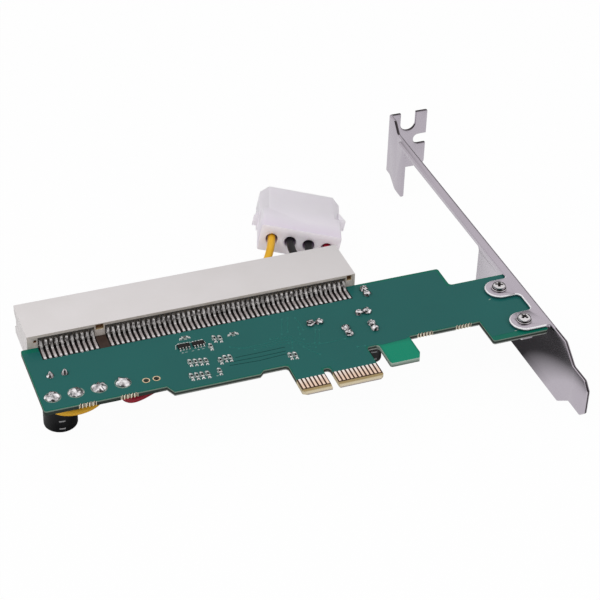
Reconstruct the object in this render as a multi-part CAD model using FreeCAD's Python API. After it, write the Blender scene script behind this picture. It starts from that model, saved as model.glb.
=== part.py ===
"""Adapter card: a short circuit board with a small edge connector below, a long white card slot along
its upper edge, a full height folded bracket and four power wires that end in an in-line plug.

Millimetres, +Z up. The card lies on its component side, solder side up, as it comes to rest.
Pieces are drawn about three datums of the card: x = 0 at the key of the edge connector, y = 0 at the
tips of the slot contacts' feet, z = 0 on the board's solder side. Saving shifts them to the frame,
whose origin is the middle of the card's footprint.
"""
import FreeCAD, Part
import math
import os

V = FreeCAD.Vector
ROUND = 0.98  # Share of a half width that a full round end takes, so a short flat stays at its top

# Board outline
board_thickness = 1.2
board_left = -66.5
board_right = 57.2
board_top = 5.0
main_right = 41.9
main_bottom = -19.0
belly_bottom = -21.5
belly_left = -37.5
belly_right = -14.2
shelf_bottom = -20.4
step_slant = 1.15
arm_top = -2.5
arm_left = 42.5
arm_bottom = -27.3
board_corner = 0.6
board_inner_corner = 0.9

# Edge connector: two groups of gold contacts, one on each side of the key
edge_pitch = 1.0
edge_first = 1.5
edge_long_count = 11
edge_short_count = 7
edge_margin = 0.65
edge_bottom = -31.4
edge_corner = 0.9
edge_bevel = 1.2
edge_bevel_depth = 0.35
edge_contact_width = 0.7
edge_contact_length = 3.6
edge_contact_gap = 0.3
edge_contact_thickness = 0.06
key_width = 1.9
key_top = -24.3

# Retention hook beside the edge connector
hook_notch_width = 3.2
hook_notch_top = -19.8
hook_tab_width = 8.3
hook_tab_bottom = -27.6
hook_tab_chamfer_x = 0.9
hook_tab_chamfer_y = 1.9

# Break-off scars on the lower edge: rows of half holes left by the panel
scar_hole_radius = 0.28
scar_pitch = 0.82
scar_count = 5
scar_centres = [-56.4, -46.5, 28.0, 38.25]

# Card slot on the upper edge, straddling the board
slot_pitch = 1.27
slot_first = -61.6
slot_short_count = 11
slot_key_positions = 2
slot_long_count = 49
slot_end_margin = 3.2
slot_depth = 13.7
slot_height = 8.2
slot_seat_gap = 0.05
card_gap = 1.9
card_depth = 9.2
card_end_margin = 1.1
card_key_width = 1.6
mouth_flare = 1.1
mouth_flare_depth = 1.6
pocket_width = 0.84
pocket_depth = 2.0
pocket_front_wall = 1.4
locating_hole_radius = 0.42
end_recess_width = 1.3
end_recess_height = 1.5
end_recess_depth = 1.2
key_recess_width = 2.0
recess_top_wall = 0.22

# Slot contacts: bent strips that press on the card and stand on the board
contact_width = 0.6
contact_thickness = 0.22
contact_clearance = 0.12
contact_tip_inset = 2.3
contact_bow_inset = 4.6
contact_bow = 0.3
contact_root_inset = 8.6
contact_tail_height = 1.85
contact_tip_lift = 0.65
contact_tail_reach = 0.3
contact_drop_slope = 1.3

# Folded bracket
sheet = 0.9
bend_outer_radius = 0.85
plate_gap = 0.8
plate_width = 18.4
plate_corner = 0.8
cutout_corner = 1.0
bracket_tab_y = 75.1
bracket_tab_depth = 11.9
bracket_tab_offset = 2.8
bracket_tab_corner = 1.8
bracket_tab_tip_corner = 0.4
jog_start = 2.1
jog_end = 6.1
jog_corner = 2.4
short_jog_start = 3.1
short_jog_end = 5.8
short_jog_corner = 1.0
upper_plate_length = 11.0
lower_plate_top = 14.0
rail_depth = 2.6
flange_width = 2.4
flange_top = 65.4
relief_radius = 0.55
screw_notch_width = 4.6
screw_notch_depth = 5.8
screw_notch_offset = 5.9
guide_notch_width = 3.1
guide_notch_depth = 4.0
guide_notch_drop = 9.2
tongue_shoulder = -29.2
tongue_tip = -47.0
tongue_width = 10.6
tongue_inset = 3.9
tongue_neck_start = 5.0
tongue_neck_end = 10.0
tongue_nose = 2.0
tongue_corner = 1.1
neck_corner = 1.5
flange_corner = 0.8
ear_corner = 1.2

# Bracket ears, screws and nuts
ear_length = 9.9
ear_width = 7.2
ear_first = -8.8
ear_spacing = 14.2
screw_radius = 1.2
screw_clearance = 0.2
screw_head_radius = 2.05
screw_head_height = 1.2
screw_head_crown = 0.6
recess_width = 0.65
recess_length = 2.3
recess_depth = 0.8
nut_flats = 5.0
nut_height = 2.0
screw_tip = 0.9
screw_point = 0.4

# Radial electrolytic capacitors: lead positions come from the joints on the solder side
lead_radius = 0.3
lead_clearance = 0.1
lead_tip = 1.25
can_stand_off = 0.3
can_groove_height = 1.9
can_groove_width = 0.9
can_groove_depth = 0.35
can_edge = 0.35
seal_inset = 0.9
seal_thickness = 1.0
bulk_can_radius = 4.1
bulk_can_height = 12.8
bulk_lead_pitch = 3.5
bulk_place = (-60.4, -6.7)
small_can_radius = 2.5
small_can_height = 8.0
small_lead_pitch = 2.2
small_places_x = [(3.8, -7.0), (16.6, -6.6)]
small_places_y = [(10.2, -12.6), (16.8, -12.6)]
slot_can_gap = 4.53
slot_can_y = 1.3
joint_radius = 1.0
joint_height = 1.0

# Bridge chip on the component side
chip_place = (-25.0, -9.7)
chip_side = 14.0
chip_thickness = 1.4
chip_stand_off = 0.15
chip_edge = 0.13
chip_lead_count = 20
chip_lead_pitch = 0.65
chip_lead_width = 0.3
chip_lead_thickness = 0.15
chip_lead_shoulder = 0.3
chip_lead_drop = 0.2
chip_lead_foot = 0.5

# Clock crystal in a metal can on a plastic base
crystal_place = (-6.6, -5.0)
crystal_length = 11.0
crystal_width = 4.4
crystal_height = 3.4
crystal_rim = 0.35
crystal_rim_height = 0.5
crystal_base_length = 12.4
crystal_base_width = 5.0
crystal_base_height = 0.8

# Voltage regulator with a tab and three legs
regulator_place = (-41.6, -5.2)
regulator_length = 6.5
regulator_width = 3.5
regulator_height = 1.6
regulator_lead_pitch = 2.3
regulator_lead_width = 0.7
regulator_tab_width = 3.0
regulator_lead_thickness = 0.26
regulator_lead_shoulder = 0.5
regulator_lead_knee = 0.8
regulator_lead_reach = 1.75
regulator_edge = 0.25

# Chip resistors and capacitors
chip_part_length = 1.6
chip_part_width = 0.8
chip_part_height = 0.45
chip_part_end = 0.3
chip_end_skin = 0.04
array_length = 3.0
array_width = 1.5
array_height = 0.5
array_count = 4
array_terminal_width = 0.4
array_terminal_reach = 0.25
array_places = [(-29.3, -5.8), (-25.7, -5.9)]
solder_side_upright = [
    (-29.75, -12.3), (-28.5, -12.5), (-27.25, -12.7), (-26.0, -12.9),
    (-31.0, -17.5), (-29.75, -17.6), (-28.5, -17.7), (-27.1, -17.8),
    (-22.7, -13.8), (-21.4, -13.4), (-20.2, -13.5), (-24.15, -17.6),
    (-23.2, -7.9), (-21.4, -5.2), (-20.1, -5.6), (-6.35, -17.4), (-5.15, -17.5)]
solder_side_level = [(-28.1, -2.7), (-16.6, -4.9)]
component_side_upright = [
    (-35.4, -13.0), (-35.4, -9.0), (-35.4, -5.5), (-14.8, -14.5), (-14.8, -10.9),
    (-46.9, -9.7), (-44.4, -10.3), (8.4, -20.6), (6.2, -20.6)]
component_side_level = [(-30.0, -19.6), (-26.0, -19.6), (-22.0, -19.6), (24.8, -8.0), (24.8, -11.0)]

# Unused header: two plated holes
header_places = [(-41.45, -15.35), (-38.95, -15.4)]
header_hole_radius = 0.5
header_ring_radius = 0.92
header_skin = 0.06

# Power wires, their joints and their plug
wire_radius = 1.05
conductor_radius = 0.5
conductor_clearance = 0.15
conductor_end = 0.5
wire_strip_gap = 0.2
wire_drop = 2.0
wire_joint_radius = 1.95
wire_joint_height = 1.05
wire_joint_shoulder = 0.75
wire_joint_crown = 0.3
wire_joint_y = -14.5
wire_joint_xs = [-63.5, -58.0, -52.5, -46.8]
plug_x = 16.7
plug_y = 40.1
plug_z = -13.35
plug_turn = FreeCAD.Rotation(-20.1, 10.8, -2.6)
plug_pitch = 5.08
plug_rear_width = 21.9
plug_rear_length = 9.6
plug_rear_edge = 0.6
plug_height = 7.9
plug_shroud_width = 22.5
plug_shroud_length = 11.6
plug_shroud_chamfer = 2.2
plug_wall = 1.2
plug_ear_reach = 1.3
plug_ear_start = 1.2
plug_ear_length = 4.0
plug_ear_low = 0.8
plug_ear_height = 3.2
plug_hole_radius = 1.65
pin_radius = 1.05
pin_length = 9.0
pin_point = 0.5
pin_body_clearance = 0.08
pin_body_length = 4.0
wire_entry = 2.0
wire_end_gap = 0.05

# Places that follow from the sizes
underside = -board_thickness
mid_plane = underside / 2
edge_right = edge_first + (edge_long_count - 1) * edge_pitch + edge_margin
edge_left = -(edge_first + (edge_short_count - 1) * edge_pitch + edge_margin)
hook_left = edge_right + hook_notch_width
hook_right = hook_left + hook_tab_width
slot_positions = slot_short_count + slot_key_positions + slot_long_count
slot_left = slot_first - slot_end_margin
slot_last = slot_first + (slot_positions - 1) * slot_pitch
slot_right = slot_last + slot_end_margin
small_places_y.append((slot_last + slot_can_gap, slot_can_y))
slot_rear = board_top + slot_seat_gap
slot_mouth = slot_rear + slot_depth
card_floor = slot_mouth - card_depth
key_centre = slot_first + (slot_short_count - 0.5 + slot_key_positions / 2) * slot_pitch
plate_x = board_right + plate_gap
plate_low = sheet - plate_width
tab_end = plate_x + bracket_tab_depth
tab_high = sheet + bracket_tab_offset
tab_low = plate_low + bracket_tab_offset
ear_end = plate_x + sheet - ear_length
ear_radius = ear_width / 2
screw_x = ear_end + ear_radius
ear_places = [ear_first, ear_first - ear_spacing]
wire_start = underside - wire_strip_gap
plug_origin = V(plug_x, plug_y, plug_z)
frame_shift = V(-(board_left + tab_end) / 2, -(tongue_tip + bracket_tab_y + sheet) / 2, -plate_low)

# Routes of the four wires between their drop below the board and their run into the plug
wire_routes = {
    "yellow": [
        (-62.3, -14.3, -5.5), (-59.5, -13.8, -6.6), (-55.2, -11.6, -7.6), (-49.6, -5.0, -9.4),
        (-40.5, 4.0, -11.6), (-26.5, 14.0, -13.6), (-11.0, 22.5, -13.8), (0.6, 29.0, -11.8)],
    "black_left": [
        (-56.9, -13.9, -5.2), (-54.4, -12.8, -5.5), (-49.2, -9.6, -6.0), (-40.0, -3.8, -7.6),
        (-26.0, 5.5, -11.4), (-10.5, 14.2, -14.2), (4.9, 21.6, -14.2), (12.6, 28.0, -12.0),
        (15.0, 33.2, -10.3)],
    "black_right": [
        (-51.4, -13.9, -5.2), (-48.9, -13.0, -5.5), (-43.6, -10.4, -6.0), (-34.4, -5.0, -7.6),
        (-20.6, 3.3, -11.4), (-5.6, 11.2, -14.3), (9.2, 18.8, -14.5), (16.4, 26.4, -13.0)],
    "red": [
        (-45.7, -14.4, -5.2), (-43.0, -13.7, -5.9), (-38.2, -10.8, -6.5), (-29.4, -5.9, -8.2),
        (-15.4, 1.4, -12.0), (-0.6, 8.8, -14.6), (13.8, 16.2, -14.9), (21.2, 24.6, -13.8)],
}
wire_lead_ins = {"yellow": 7.5, "black_left": 3.2, "black_right": 5.2, "red": 5.2}


def box(low, high):
    """A block between two corners."""
    size = [high[i] - low[i] for i in range(3)]
    return Part.makeBox(size[0], size[1], size[2], V(*low))


def rod(radius, low, high, x, y):
    """A round rod that stands along Z."""
    return Part.makeCylinder(radius, high - low, V(x, y, low))


def corner_arc(before, corner, after, radius):
    """Start, middle and end of the arc that rounds one corner of a path."""
    back = (before - corner).normalize()
    ahead = (after - corner).normalize()
    half_turn = (math.pi - back.getAngle(ahead)) / 2
    reach = radius * math.tan(half_turn)
    inward = (back + ahead).normalize()
    centre = corner + inward * (radius / math.cos(half_turn))
    return corner + back * reach, centre - inward * radius, corner + ahead * reach


def rounded_wire(points, radii, closed=True):
    """Straight runs joined by tangent arcs. A radius of 0 leaves a sharp corner."""
    count = len(points)
    stations = []
    for i, point in enumerate(points):
        inner = closed or 0 < i < count - 1
        if inner and radii[i] > 0:
            stations.append(corner_arc(points[i - 1], point, points[(i + 1) % count], radii[i]))
        else:
            stations.append((point, None, point))
    edges = []
    for i, (start, middle, end) in enumerate(stations):
        if middle is not None:
            edges.append(Part.Arc(start, middle, end).toShape())
        if closed or i < count - 1:
            following = stations[(i + 1) % count][0]
            if end.distanceToPoint(following) > 1e-6:
                edges.append(Part.LineSegment(end, following).toShape())
    return Part.Wire(edges)


def plate_xy(outline, low, high):
    """A flat plate from (x, y, radius) corners."""
    points = [V(x, y, low) for x, y, radius in outline]
    wire = rounded_wire(points, [corner[2] for corner in outline])
    return Part.Face(wire).extrude(V(0, 0, high - low))


def plate_yz(outline, low, high):
    """A flat plate across X from (y, z, radius) corners."""
    points = [V(low, y, z) for y, z, radius in outline]
    wire = rounded_wire(points, [corner[2] for corner in outline])
    return Part.Face(wire).extrude(V(high - low, 0, 0))


def plate_xz(outline, low, high):
    """A flat plate across Y from (x, z, radius) corners."""
    points = [V(x, low, z) for x, z, radius in outline]
    wire = rounded_wire(points, [corner[2] for corner in outline])
    return Part.Face(wire).extrude(V(0, high - low, 0))


def turned(profile, x, y):
    """A turned piece from (radius, z) corners, about an upright axis."""
    points = [V(x + radius, y, z) for radius, z in profile]
    face = Part.Face(Part.makePolygon(points + points[:1]))
    return face.revolve(V(x, y, 0), V(0, 0, 1), 360)


def bent_strip(path, thickness, low, high):
    """A strip of even thickness bent along a (y, z) path, as wide as low to high in X."""
    left, right = [], []
    for i, (y, z) in enumerate(path):
        runs = []
        if i > 0:
            runs.append((V(0, y, z) - V(0, *path[i - 1])).normalize())
        if i < len(path) - 1:
            runs.append((V(0, *path[i + 1]) - V(0, y, z)).normalize())
        ahead = (runs[0] + runs[-1]).normalize()
        side = V(0, -ahead.z, ahead.y) * (thickness / 2 / ahead.dot(runs[0]))
        left.append(V(low, y, z) + side)
        right.append(V(low, y, z) - side)
    outline = left + right[::-1]
    return Part.Face(Part.makePolygon(outline + outline[:1])).extrude(V(high - low, 0, 0))


def mirrored_below(solids):
    """The same pieces on the other face of the board."""
    return [solid.mirror(V(0, 0, mid_plane), V(0, 0, 1)) for solid in solids]


def slot_xs():
    """Places of the slot's contacts: a short row, the key and a long row."""
    numbers = list(range(slot_short_count))
    numbers += range(slot_short_count + slot_key_positions, slot_positions)
    return [slot_first + number * slot_pitch for number in numbers]


def edge_xs():
    """Places of the edge connector's contacts, either side of the key."""
    right = [edge_first + i * edge_pitch for i in range(edge_long_count)]
    left = [-edge_first - i * edge_pitch for i in range(edge_short_count)]
    return right + left


def scar_cuts():
    """Half holes along the lower edge, where the board was broken out of its panel."""
    cuts = []
    for centre in scar_centres:
        for i in range(scar_count):
            x = centre + (i - (scar_count - 1) / 2) * scar_pitch
            cuts.append(rod(scar_hole_radius, underside, 0, x, main_bottom))
    return cuts


def lead_places():
    """Every capacitor lead, as (x, y)."""
    places = [(bulk_place[0] + side * bulk_lead_pitch / 2, bulk_place[1]) for side in (-1, 1)]
    for x, y in small_places_x:
        places += [(x + side * small_lead_pitch / 2, y) for side in (-1, 1)]
    for x, y in small_places_y:
        places += [(x, y + side * small_lead_pitch / 2) for side in (-1, 1)]
    return places


def make_board():
    """Board with its stepped lower edge, connector tongue, hook tab, holes and bevels."""
    key_round = key_width / 2 * ROUND
    outline = [
        (board_left, board_top, board_corner), (board_left, main_bottom, board_corner),
        (belly_left, main_bottom, 0), (belly_left + step_slant, belly_bottom, 0),
        (belly_right - step_slant, belly_bottom, 0), (belly_right, shelf_bottom, 0),
        (edge_left, shelf_bottom, board_inner_corner), (edge_left, edge_bottom + edge_corner, 0),
        (edge_left + edge_corner, edge_bottom, 0), (-key_width / 2, edge_bottom, 0),
        (-key_width / 2, key_top, key_round), (key_width / 2, key_top, key_round),
        (key_width / 2, edge_bottom, 0), (edge_right - edge_corner, edge_bottom, 0),
        (edge_right, edge_bottom + edge_corner, 0), (edge_right, hook_notch_top, board_inner_corner),
        (hook_left, hook_notch_top, board_inner_corner), (hook_left, hook_tab_bottom, board_corner),
        (hook_right - hook_tab_chamfer_x, hook_tab_bottom, 0),
        (hook_right, hook_tab_bottom + hook_tab_chamfer_y, 0), (hook_right, main_bottom, 0),
        (arm_left, main_bottom, 0), (arm_left, arm_bottom, board_corner),
        (board_right, arm_bottom, board_corner), (board_right, arm_top, board_corner),
        (main_right, arm_top, board_inner_corner), (main_right, board_top, board_corner)]
    board = plate_xy(outline, underside, 0)
    tools = scar_cuts()
    bevel_top = edge_bottom + edge_bevel
    for outer, inner in ((0, -edge_bevel_depth), (underside, underside + edge_bevel_depth)):
        wedge = [(bevel_top, outer, 0), (edge_bottom, inner, 0), (edge_bottom, outer, 0)]
        tools.append(plate_yz(wedge, edge_left, edge_right))
    for x, y in lead_places():
        tools.append(rod(lead_radius + lead_clearance, underside, 0, x, y))
    for x, y in header_places:
        tools.append(rod(header_hole_radius + header_skin, underside, 0, x, y))
    for x in wire_joint_xs:
        tools.append(rod(conductor_radius + conductor_clearance, underside, 0, x, wire_joint_y))
    for y in ear_places:
        tools.append(rod(screw_radius + screw_clearance, underside, 0, screw_x, y))
    return [board.cut(tools)]


def make_edge_contacts():
    """Gold contacts on the solder side of the connector tongue."""
    low = edge_bottom + edge_bevel + edge_contact_gap
    high = low + edge_contact_length
    half = edge_contact_width / 2
    return [box((x - half, low, 0), (x + half, high, edge_contact_thickness)) for x in edge_xs()]


def make_header_rings():
    """Plated rings of the two unused holes: a barrel with a flat ring on each face."""
    rings = []
    for x, y in header_places:
        barrel = header_hole_radius + header_skin
        profile = [
            (header_hole_radius, underside - header_skin), (header_ring_radius, underside - header_skin),
            (header_ring_radius, underside), (barrel, underside), (barrel, 0), (header_ring_radius, 0),
            (header_ring_radius, header_skin), (header_hole_radius, header_skin)]
        rings.append(turned(profile, x, y))
    return rings


def make_slot_housing():
    """Moulded slot body: card gap with a flared mouth, a key rib and a pocket for each contact."""
    low = mid_plane - slot_height / 2
    high = mid_plane + slot_height / 2
    body = box((slot_left, slot_rear, low), (slot_right, slot_mouth, high))
    card_half = card_gap / 2
    flare = card_half + mouth_flare
    mouth_profile = [
        (slot_mouth - mouth_flare_depth, mid_plane - card_half, 0), (slot_mouth, mid_plane - flare, 0),
        (slot_mouth, mid_plane + flare, 0), (slot_mouth - mouth_flare_depth, mid_plane + card_half, 0)]
    flared_mouth = plate_yz(mouth_profile, slot_left, slot_right)
    key_low = key_centre - card_key_width / 2
    key_high = key_centre + card_key_width / 2
    tools = [flared_mouth]
    for left, right in ((slot_left + card_end_margin, key_low), (key_high, slot_right - card_end_margin)):
        tools.append(box((left, card_floor, mid_plane - card_half),
                         (right, slot_mouth, mid_plane + card_half)))
    half = pocket_width / 2
    pocket_end = slot_mouth - pocket_front_wall
    for x in slot_xs():
        for side in (1, -1):
            near = mid_plane + side * card_half
            far = mid_plane + side * (card_half + pocket_depth)
            tools.append(box((x - half, slot_rear, min(near, far)), (x + half, pocket_end, max(near, far))))
    hole_z = contact_tail_height
    hole_x = slot_first - slot_pitch
    tools.append(Part.makeCylinder(locating_hole_radius, end_recess_depth,
                                   V(hole_x, slot_rear, hole_z), V(0, 1, 0)))
    for centre, width in ((slot_right - slot_end_margin / 2, end_recess_width),
                          (key_centre, key_recess_width)):
        recess_low = high - end_recess_height - recess_top_wall
        tools.append(box((centre - width / 2, slot_rear, recess_low),
                         (centre + width / 2, slot_rear + end_recess_depth, recess_low + end_recess_height)))
    return [body.cut(tools)]


def make_slot_contacts():
    """Contacts of the solder side: a bowed spring in its pocket, a drop and a foot on the board."""
    card_face = mid_plane + card_gap / 2
    root = card_face + pocket_depth - contact_clearance - contact_thickness / 2
    bow = card_face - contact_bow
    foot = contact_thickness / 2
    tail = min(contact_tail_height, root)
    path = [
        (slot_mouth - contact_tip_inset, card_face + contact_tip_lift), (slot_mouth - contact_bow_inset, bow),
        (slot_mouth - contact_root_inset, root), (slot_rear - contact_tail_reach, tail),
        (slot_rear - contact_tail_reach - contact_drop_slope, foot), (0, foot)]
    half = contact_width / 2
    return [bent_strip(path, contact_thickness, x - half, x + half) for x in slot_xs()]


def plate_outline():
    """The bracket's upright plate in (y, z): upper part, rail, lower part and tongue."""
    top = bracket_tab_y + sheet
    upper_bottom = bracket_tab_y - upper_plate_length
    tongue_high = sheet - tongue_inset
    tongue_low = tongue_high - tongue_width
    neck_start = tongue_shoulder - tongue_neck_start
    neck_end = tongue_shoulder - tongue_neck_end
    nose = tongue_tip + tongue_nose
    return [
        (top, tab_high, 0), (top, tab_low, 0), (bracket_tab_y - jog_start, tab_low, jog_corner),
        (bracket_tab_y - jog_end, plate_low, jog_corner), (upper_bottom, plate_low, plate_corner),
        (upper_bottom, -rail_depth, cutout_corner), (lower_plate_top, -rail_depth, cutout_corner),
        (lower_plate_top, plate_low, plate_corner), (neck_start, plate_low, neck_corner),
        (neck_end, tongue_low, neck_corner), (nose, tongue_low, tongue_corner),
        (tongue_tip, tongue_low + tongue_nose, tongue_corner),
        (tongue_tip, tongue_high - tongue_nose, tongue_corner), (nose, tongue_high, tongue_corner),
        (neck_end, tongue_high, neck_corner), (neck_start, sheet, neck_corner),
        (bracket_tab_y - short_jog_end, sheet, short_jog_corner),
        (bracket_tab_y - short_jog_start, tab_high, short_jog_corner)]


def make_bracket():
    """Folded sheet: plate, long side flange with two screw ears, and the bent top tab with its notches."""
    plate = plate_yz(plate_outline(), plate_x, plate_x + sheet)
    right = plate_x + sheet
    flange_left = right - flange_width
    flange = [(right, flange_top, 0), (flange_left, flange_top, flange_corner)]
    ear_round = ear_radius * ROUND
    for i, y in enumerate(ear_places):
        above = y + ear_radius
        below = y - ear_radius
        last = i == len(ear_places) - 1
        flange += [(flange_left, above, ear_corner), (ear_end, above, ear_round), (ear_end, below, ear_round)]
        flange += [(right, below, 0)] if last else [(flange_left, below, ear_corner)]
    flange_plate = plate_xy(flange, 0, sheet)
    tab = plate_xz([
        (plate_x, tab_high, 0), (tab_end, tab_high, bracket_tab_tip_corner),
        (tab_end, tab_low, bracket_tab_corner), (plate_x, tab_low, 0)],
        bracket_tab_y, bracket_tab_y + sheet)
    notch_left = plate_x + screw_notch_offset - screw_notch_width / 2
    notch_right = notch_left + screw_notch_width
    notch_low = tab_high - screw_notch_depth
    round_notch = screw_notch_width / 2 * ROUND
    screw_notch = plate_xz([
        (notch_left, tab_high + 1, 0), (notch_left, notch_low, round_notch),
        (notch_right, notch_low, round_notch), (notch_right, tab_high + 1, 0)],
        bracket_tab_y, bracket_tab_y + sheet)
    guide_z = tab_high - guide_notch_drop
    guide_half = guide_notch_width / 2
    guide_end = tab_end - guide_notch_depth
    guide_notch = plate_xz([
        (tab_end + 1, guide_z + guide_half, 0), (guide_end, guide_z + guide_half, guide_half * ROUND),
        (guide_end, guide_z - guide_half, guide_half * ROUND), (tab_end + 1, guide_z - guide_half, 0)],
        bracket_tab_y, bracket_tab_y + sheet)
    relief_start = V(plate_x - flange_width, flange_top, 0)
    relief = Part.makeCylinder(relief_radius, flange_width, relief_start, V(1, 0, 0))
    bracket = plate.fuse([flange_plate, tab]).removeSplitter()
    long_bend = [edge for edge in bracket.Edges if is_bend(edge, right, None, sheet)]
    top_bend = [edge for edge in bracket.Edges if is_bend(edge, plate_x, bracket_tab_y + sheet, None)]
    bracket = bracket.makeFillet(bend_outer_radius, long_bend + top_bend)
    holes = [rod(screw_radius + screw_clearance, 0, sheet, screw_x, y) for y in ear_places]
    return [bracket.cut([screw_notch, guide_notch, relief] + holes)]


def is_bend(edge, x, y, z):
    """True for the straight outer edge of a fold: all its points at the given places."""
    wanted = (x, y, z)
    for vertex in edge.Vertexes:
        point = (vertex.X, vertex.Y, vertex.Z)
        for i in range(3):
            if wanted[i] is not None and abs(point[i] - wanted[i]) > 1e-4:
                return False
    long_enough = edge.Length > flange_width * 2
    return long_enough and (y is not None or edge.BoundBox.YMax <= flange_top + 1e-4)


def make_screws():
    """Pan head screws with a cross recess."""
    screws = []
    tip = underside - nut_height - screw_tip
    top = sheet + screw_head_height
    for y in ear_places:
        profile = [
            (0, tip), (screw_radius - screw_point, tip), (screw_radius, tip + screw_point),
            (screw_radius, sheet), (screw_head_radius, sheet), (screw_head_radius, top - screw_head_crown),
            (screw_head_radius - screw_head_crown, top), (0, top)]
        head = turned(profile, screw_x, y)
        arm = recess_length / 2
        slot = recess_width / 2
        along = box((screw_x - arm, y - slot, top - recess_depth), (screw_x + arm, y + slot, top))
        across = box((screw_x - slot, y - arm, top - recess_depth), (screw_x + slot, y + arm, top))
        screws.append(head.cut([along, across]))
    return screws


def make_nuts():
    """Hexagon nuts on the component side."""
    nuts = []
    corner = nut_flats / math.sqrt(3)
    for y in ear_places:
        points = []
        for i in range(6):
            angle = math.radians(60 * i)
            points.append((screw_x + corner * math.cos(angle), y + corner * math.sin(angle), 0))
        nut = plate_xy(points, underside - nut_height, underside)
        nuts.append(nut.cut(rod(screw_radius, underside - nut_height, underside, screw_x, y)))
    return nuts


def make_can(x, y, radius, height):
    """Capacitor can, open end up: crimp groove near the seal, rounded closed end below."""
    high = underside - can_stand_off
    low = high - height
    groove = high - can_groove_height
    neck = radius - can_groove_depth
    floor = high - seal_thickness
    inner = radius - seal_inset
    profile = [
        (0, low), (radius - can_edge, low), (radius, low + can_edge), (radius, groove - can_groove_width / 2),
        (neck, groove), (radius, groove + can_groove_width / 2), (radius, high),
        (inner, high), (inner, floor), (0, floor)]
    return turned(profile, x, y)


def make_seal(x, y, radius):
    """Rubber seal in the can's open end."""
    high = underside - can_stand_off
    return rod(radius - seal_inset, high - seal_thickness, high, x, y)


def make_leads():
    """Capacitor leads, from the seals through the board."""
    return [rod(lead_radius, underside - can_stand_off, lead_tip, x, y) for x, y in lead_places()]


def make_lead_joints():
    """Solder cones around the capacitor leads."""
    joints = []
    for x, y in lead_places():
        joints.append(turned([(lead_radius, 0), (joint_radius, 0), (lead_radius, joint_height)], x, y))
    return joints


def make_chip():
    """Bridge chip body with chamfered moulding edges."""
    x, y = chip_place
    half = chip_side / 2
    high = underside - chip_stand_off
    low = high - chip_thickness
    middle = (high + low) / 2
    slim = half - chip_edge
    outlines = []
    for z, reach in ((low, slim), (middle, half), (high, slim)):
        corners = [V(x - reach, y - reach, z), V(x + reach, y - reach, z)]
        corners += [V(x + reach, y + reach, z), V(x - reach, y + reach, z)]
        outlines.append(Part.makePolygon(corners + corners[:1]))
    lower = Part.makeLoft(outlines[:2], True, True)
    upper = Part.makeLoft(outlines[1:], True, True)
    return [lower.fuse(upper).removeSplitter()]


def make_chip_leads():
    """Gull-wing leads on the chip's four sides."""
    x, y = chip_place
    half = chip_side / 2
    middle = underside - chip_stand_off - chip_thickness / 2
    foot = underside - chip_lead_thickness / 2
    start = half
    path = [
        (start, middle), (start + chip_lead_shoulder, middle),
        (start + chip_lead_shoulder + chip_lead_drop, foot),
        (start + chip_lead_shoulder + chip_lead_drop + chip_lead_foot, foot)]
    leads = []
    for i in range(chip_lead_count):
        place = (i - (chip_lead_count - 1) / 2) * chip_lead_pitch
        low = place - chip_lead_width / 2
        lead = bent_strip(path, chip_lead_thickness, low, low + chip_lead_width)
        for side in range(4):
            turn = FreeCAD.Placement(V(x, y, 0), FreeCAD.Rotation(V(0, 0, 1), 90 * side))
            leads.append(lead.transformed(turn.toMatrix()))
    return leads


def stadium(x, y, length, width, low, high):
    """A plate with half-round ends."""
    left, right = x - length / 2, x + length / 2
    front, back = y - width / 2, y + width / 2
    end = width / 2 * ROUND
    corners = [(left, front, end), (right, front, end), (right, back, end), (left, back, end)]
    return plate_xy(corners, low, high)


def make_crystal_base():
    """Plastic foot of the crystal."""
    x, y = crystal_place
    half = (crystal_base_length / 2, crystal_base_width / 2)
    low = underside - crystal_base_height
    return [box((x - half[0], y - half[1], low), (x + half[0], y + half[1], underside))]


def make_crystal_can():
    """Metal can of the crystal with its welded rim."""
    x, y = crystal_place
    high = underside - crystal_base_height
    rim = stadium(x, y, crystal_length, crystal_width, high - crystal_rim_height, high)
    can = stadium(x, y, crystal_length - 2 * crystal_rim, crystal_width - 2 * crystal_rim,
                  high - crystal_height, high - crystal_rim_height)
    return [rim.fuse(can).removeSplitter()]


def make_regulator():
    """Regulator body."""
    x, y = regulator_place
    half = (regulator_length / 2, regulator_width / 2)
    low = underside - regulator_height
    body = box((x - half[0], y - half[1], low), (x + half[0], y + half[1], underside))
    edges = [edge for edge in body.Edges if edge.BoundBox.ZMax < low + 1e-4]
    return [body.makeChamfer(regulator_edge, edges)]


def make_regulator_leads():
    """Three legs on one side of the regulator and its wide tab on the other."""
    x, y = regulator_place
    half = regulator_width / 2
    root = underside - regulator_height / 2
    foot = underside - regulator_lead_thickness / 2
    legs = [(place, regulator_lead_width) for place in (-1, 0, 1)]
    leads = []
    for side, row in ((-1, legs), (1, [(0, regulator_tab_width)])):
        near = y + side * half
        path = [
            (near, root), (near + side * regulator_lead_shoulder, root),
            (near + side * regulator_lead_knee, foot), (near + side * regulator_lead_reach, foot)]
        for place, width in row:
            middle = x + place * regulator_lead_pitch
            leads.append(bent_strip(path, regulator_lead_thickness, middle - width / 2, middle + width / 2))
    return leads


def chip_part(x, y, upright):
    """A chip resistor or capacitor on the solder side: its body and its two end caps."""
    half_length = chip_part_length / 2
    half_width = chip_part_width / 2
    inner = half_length - chip_part_end
    skin = chip_end_skin
    body = box((-inner, -half_width, skin), (inner, half_width, chip_part_height))
    ends = []
    for side in (-1, 1):
        low, high = sorted((side * inner, side * half_length))
        ends.append(box((low, -half_width, 0), (high, half_width, chip_part_height + skin)))
    turn = FreeCAD.Placement(V(x, y, 0), FreeCAD.Rotation(V(0, 0, 1), 90 if upright else 0)).toMatrix()
    return body.transformed(turn), [end.transformed(turn) for end in ends]


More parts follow.
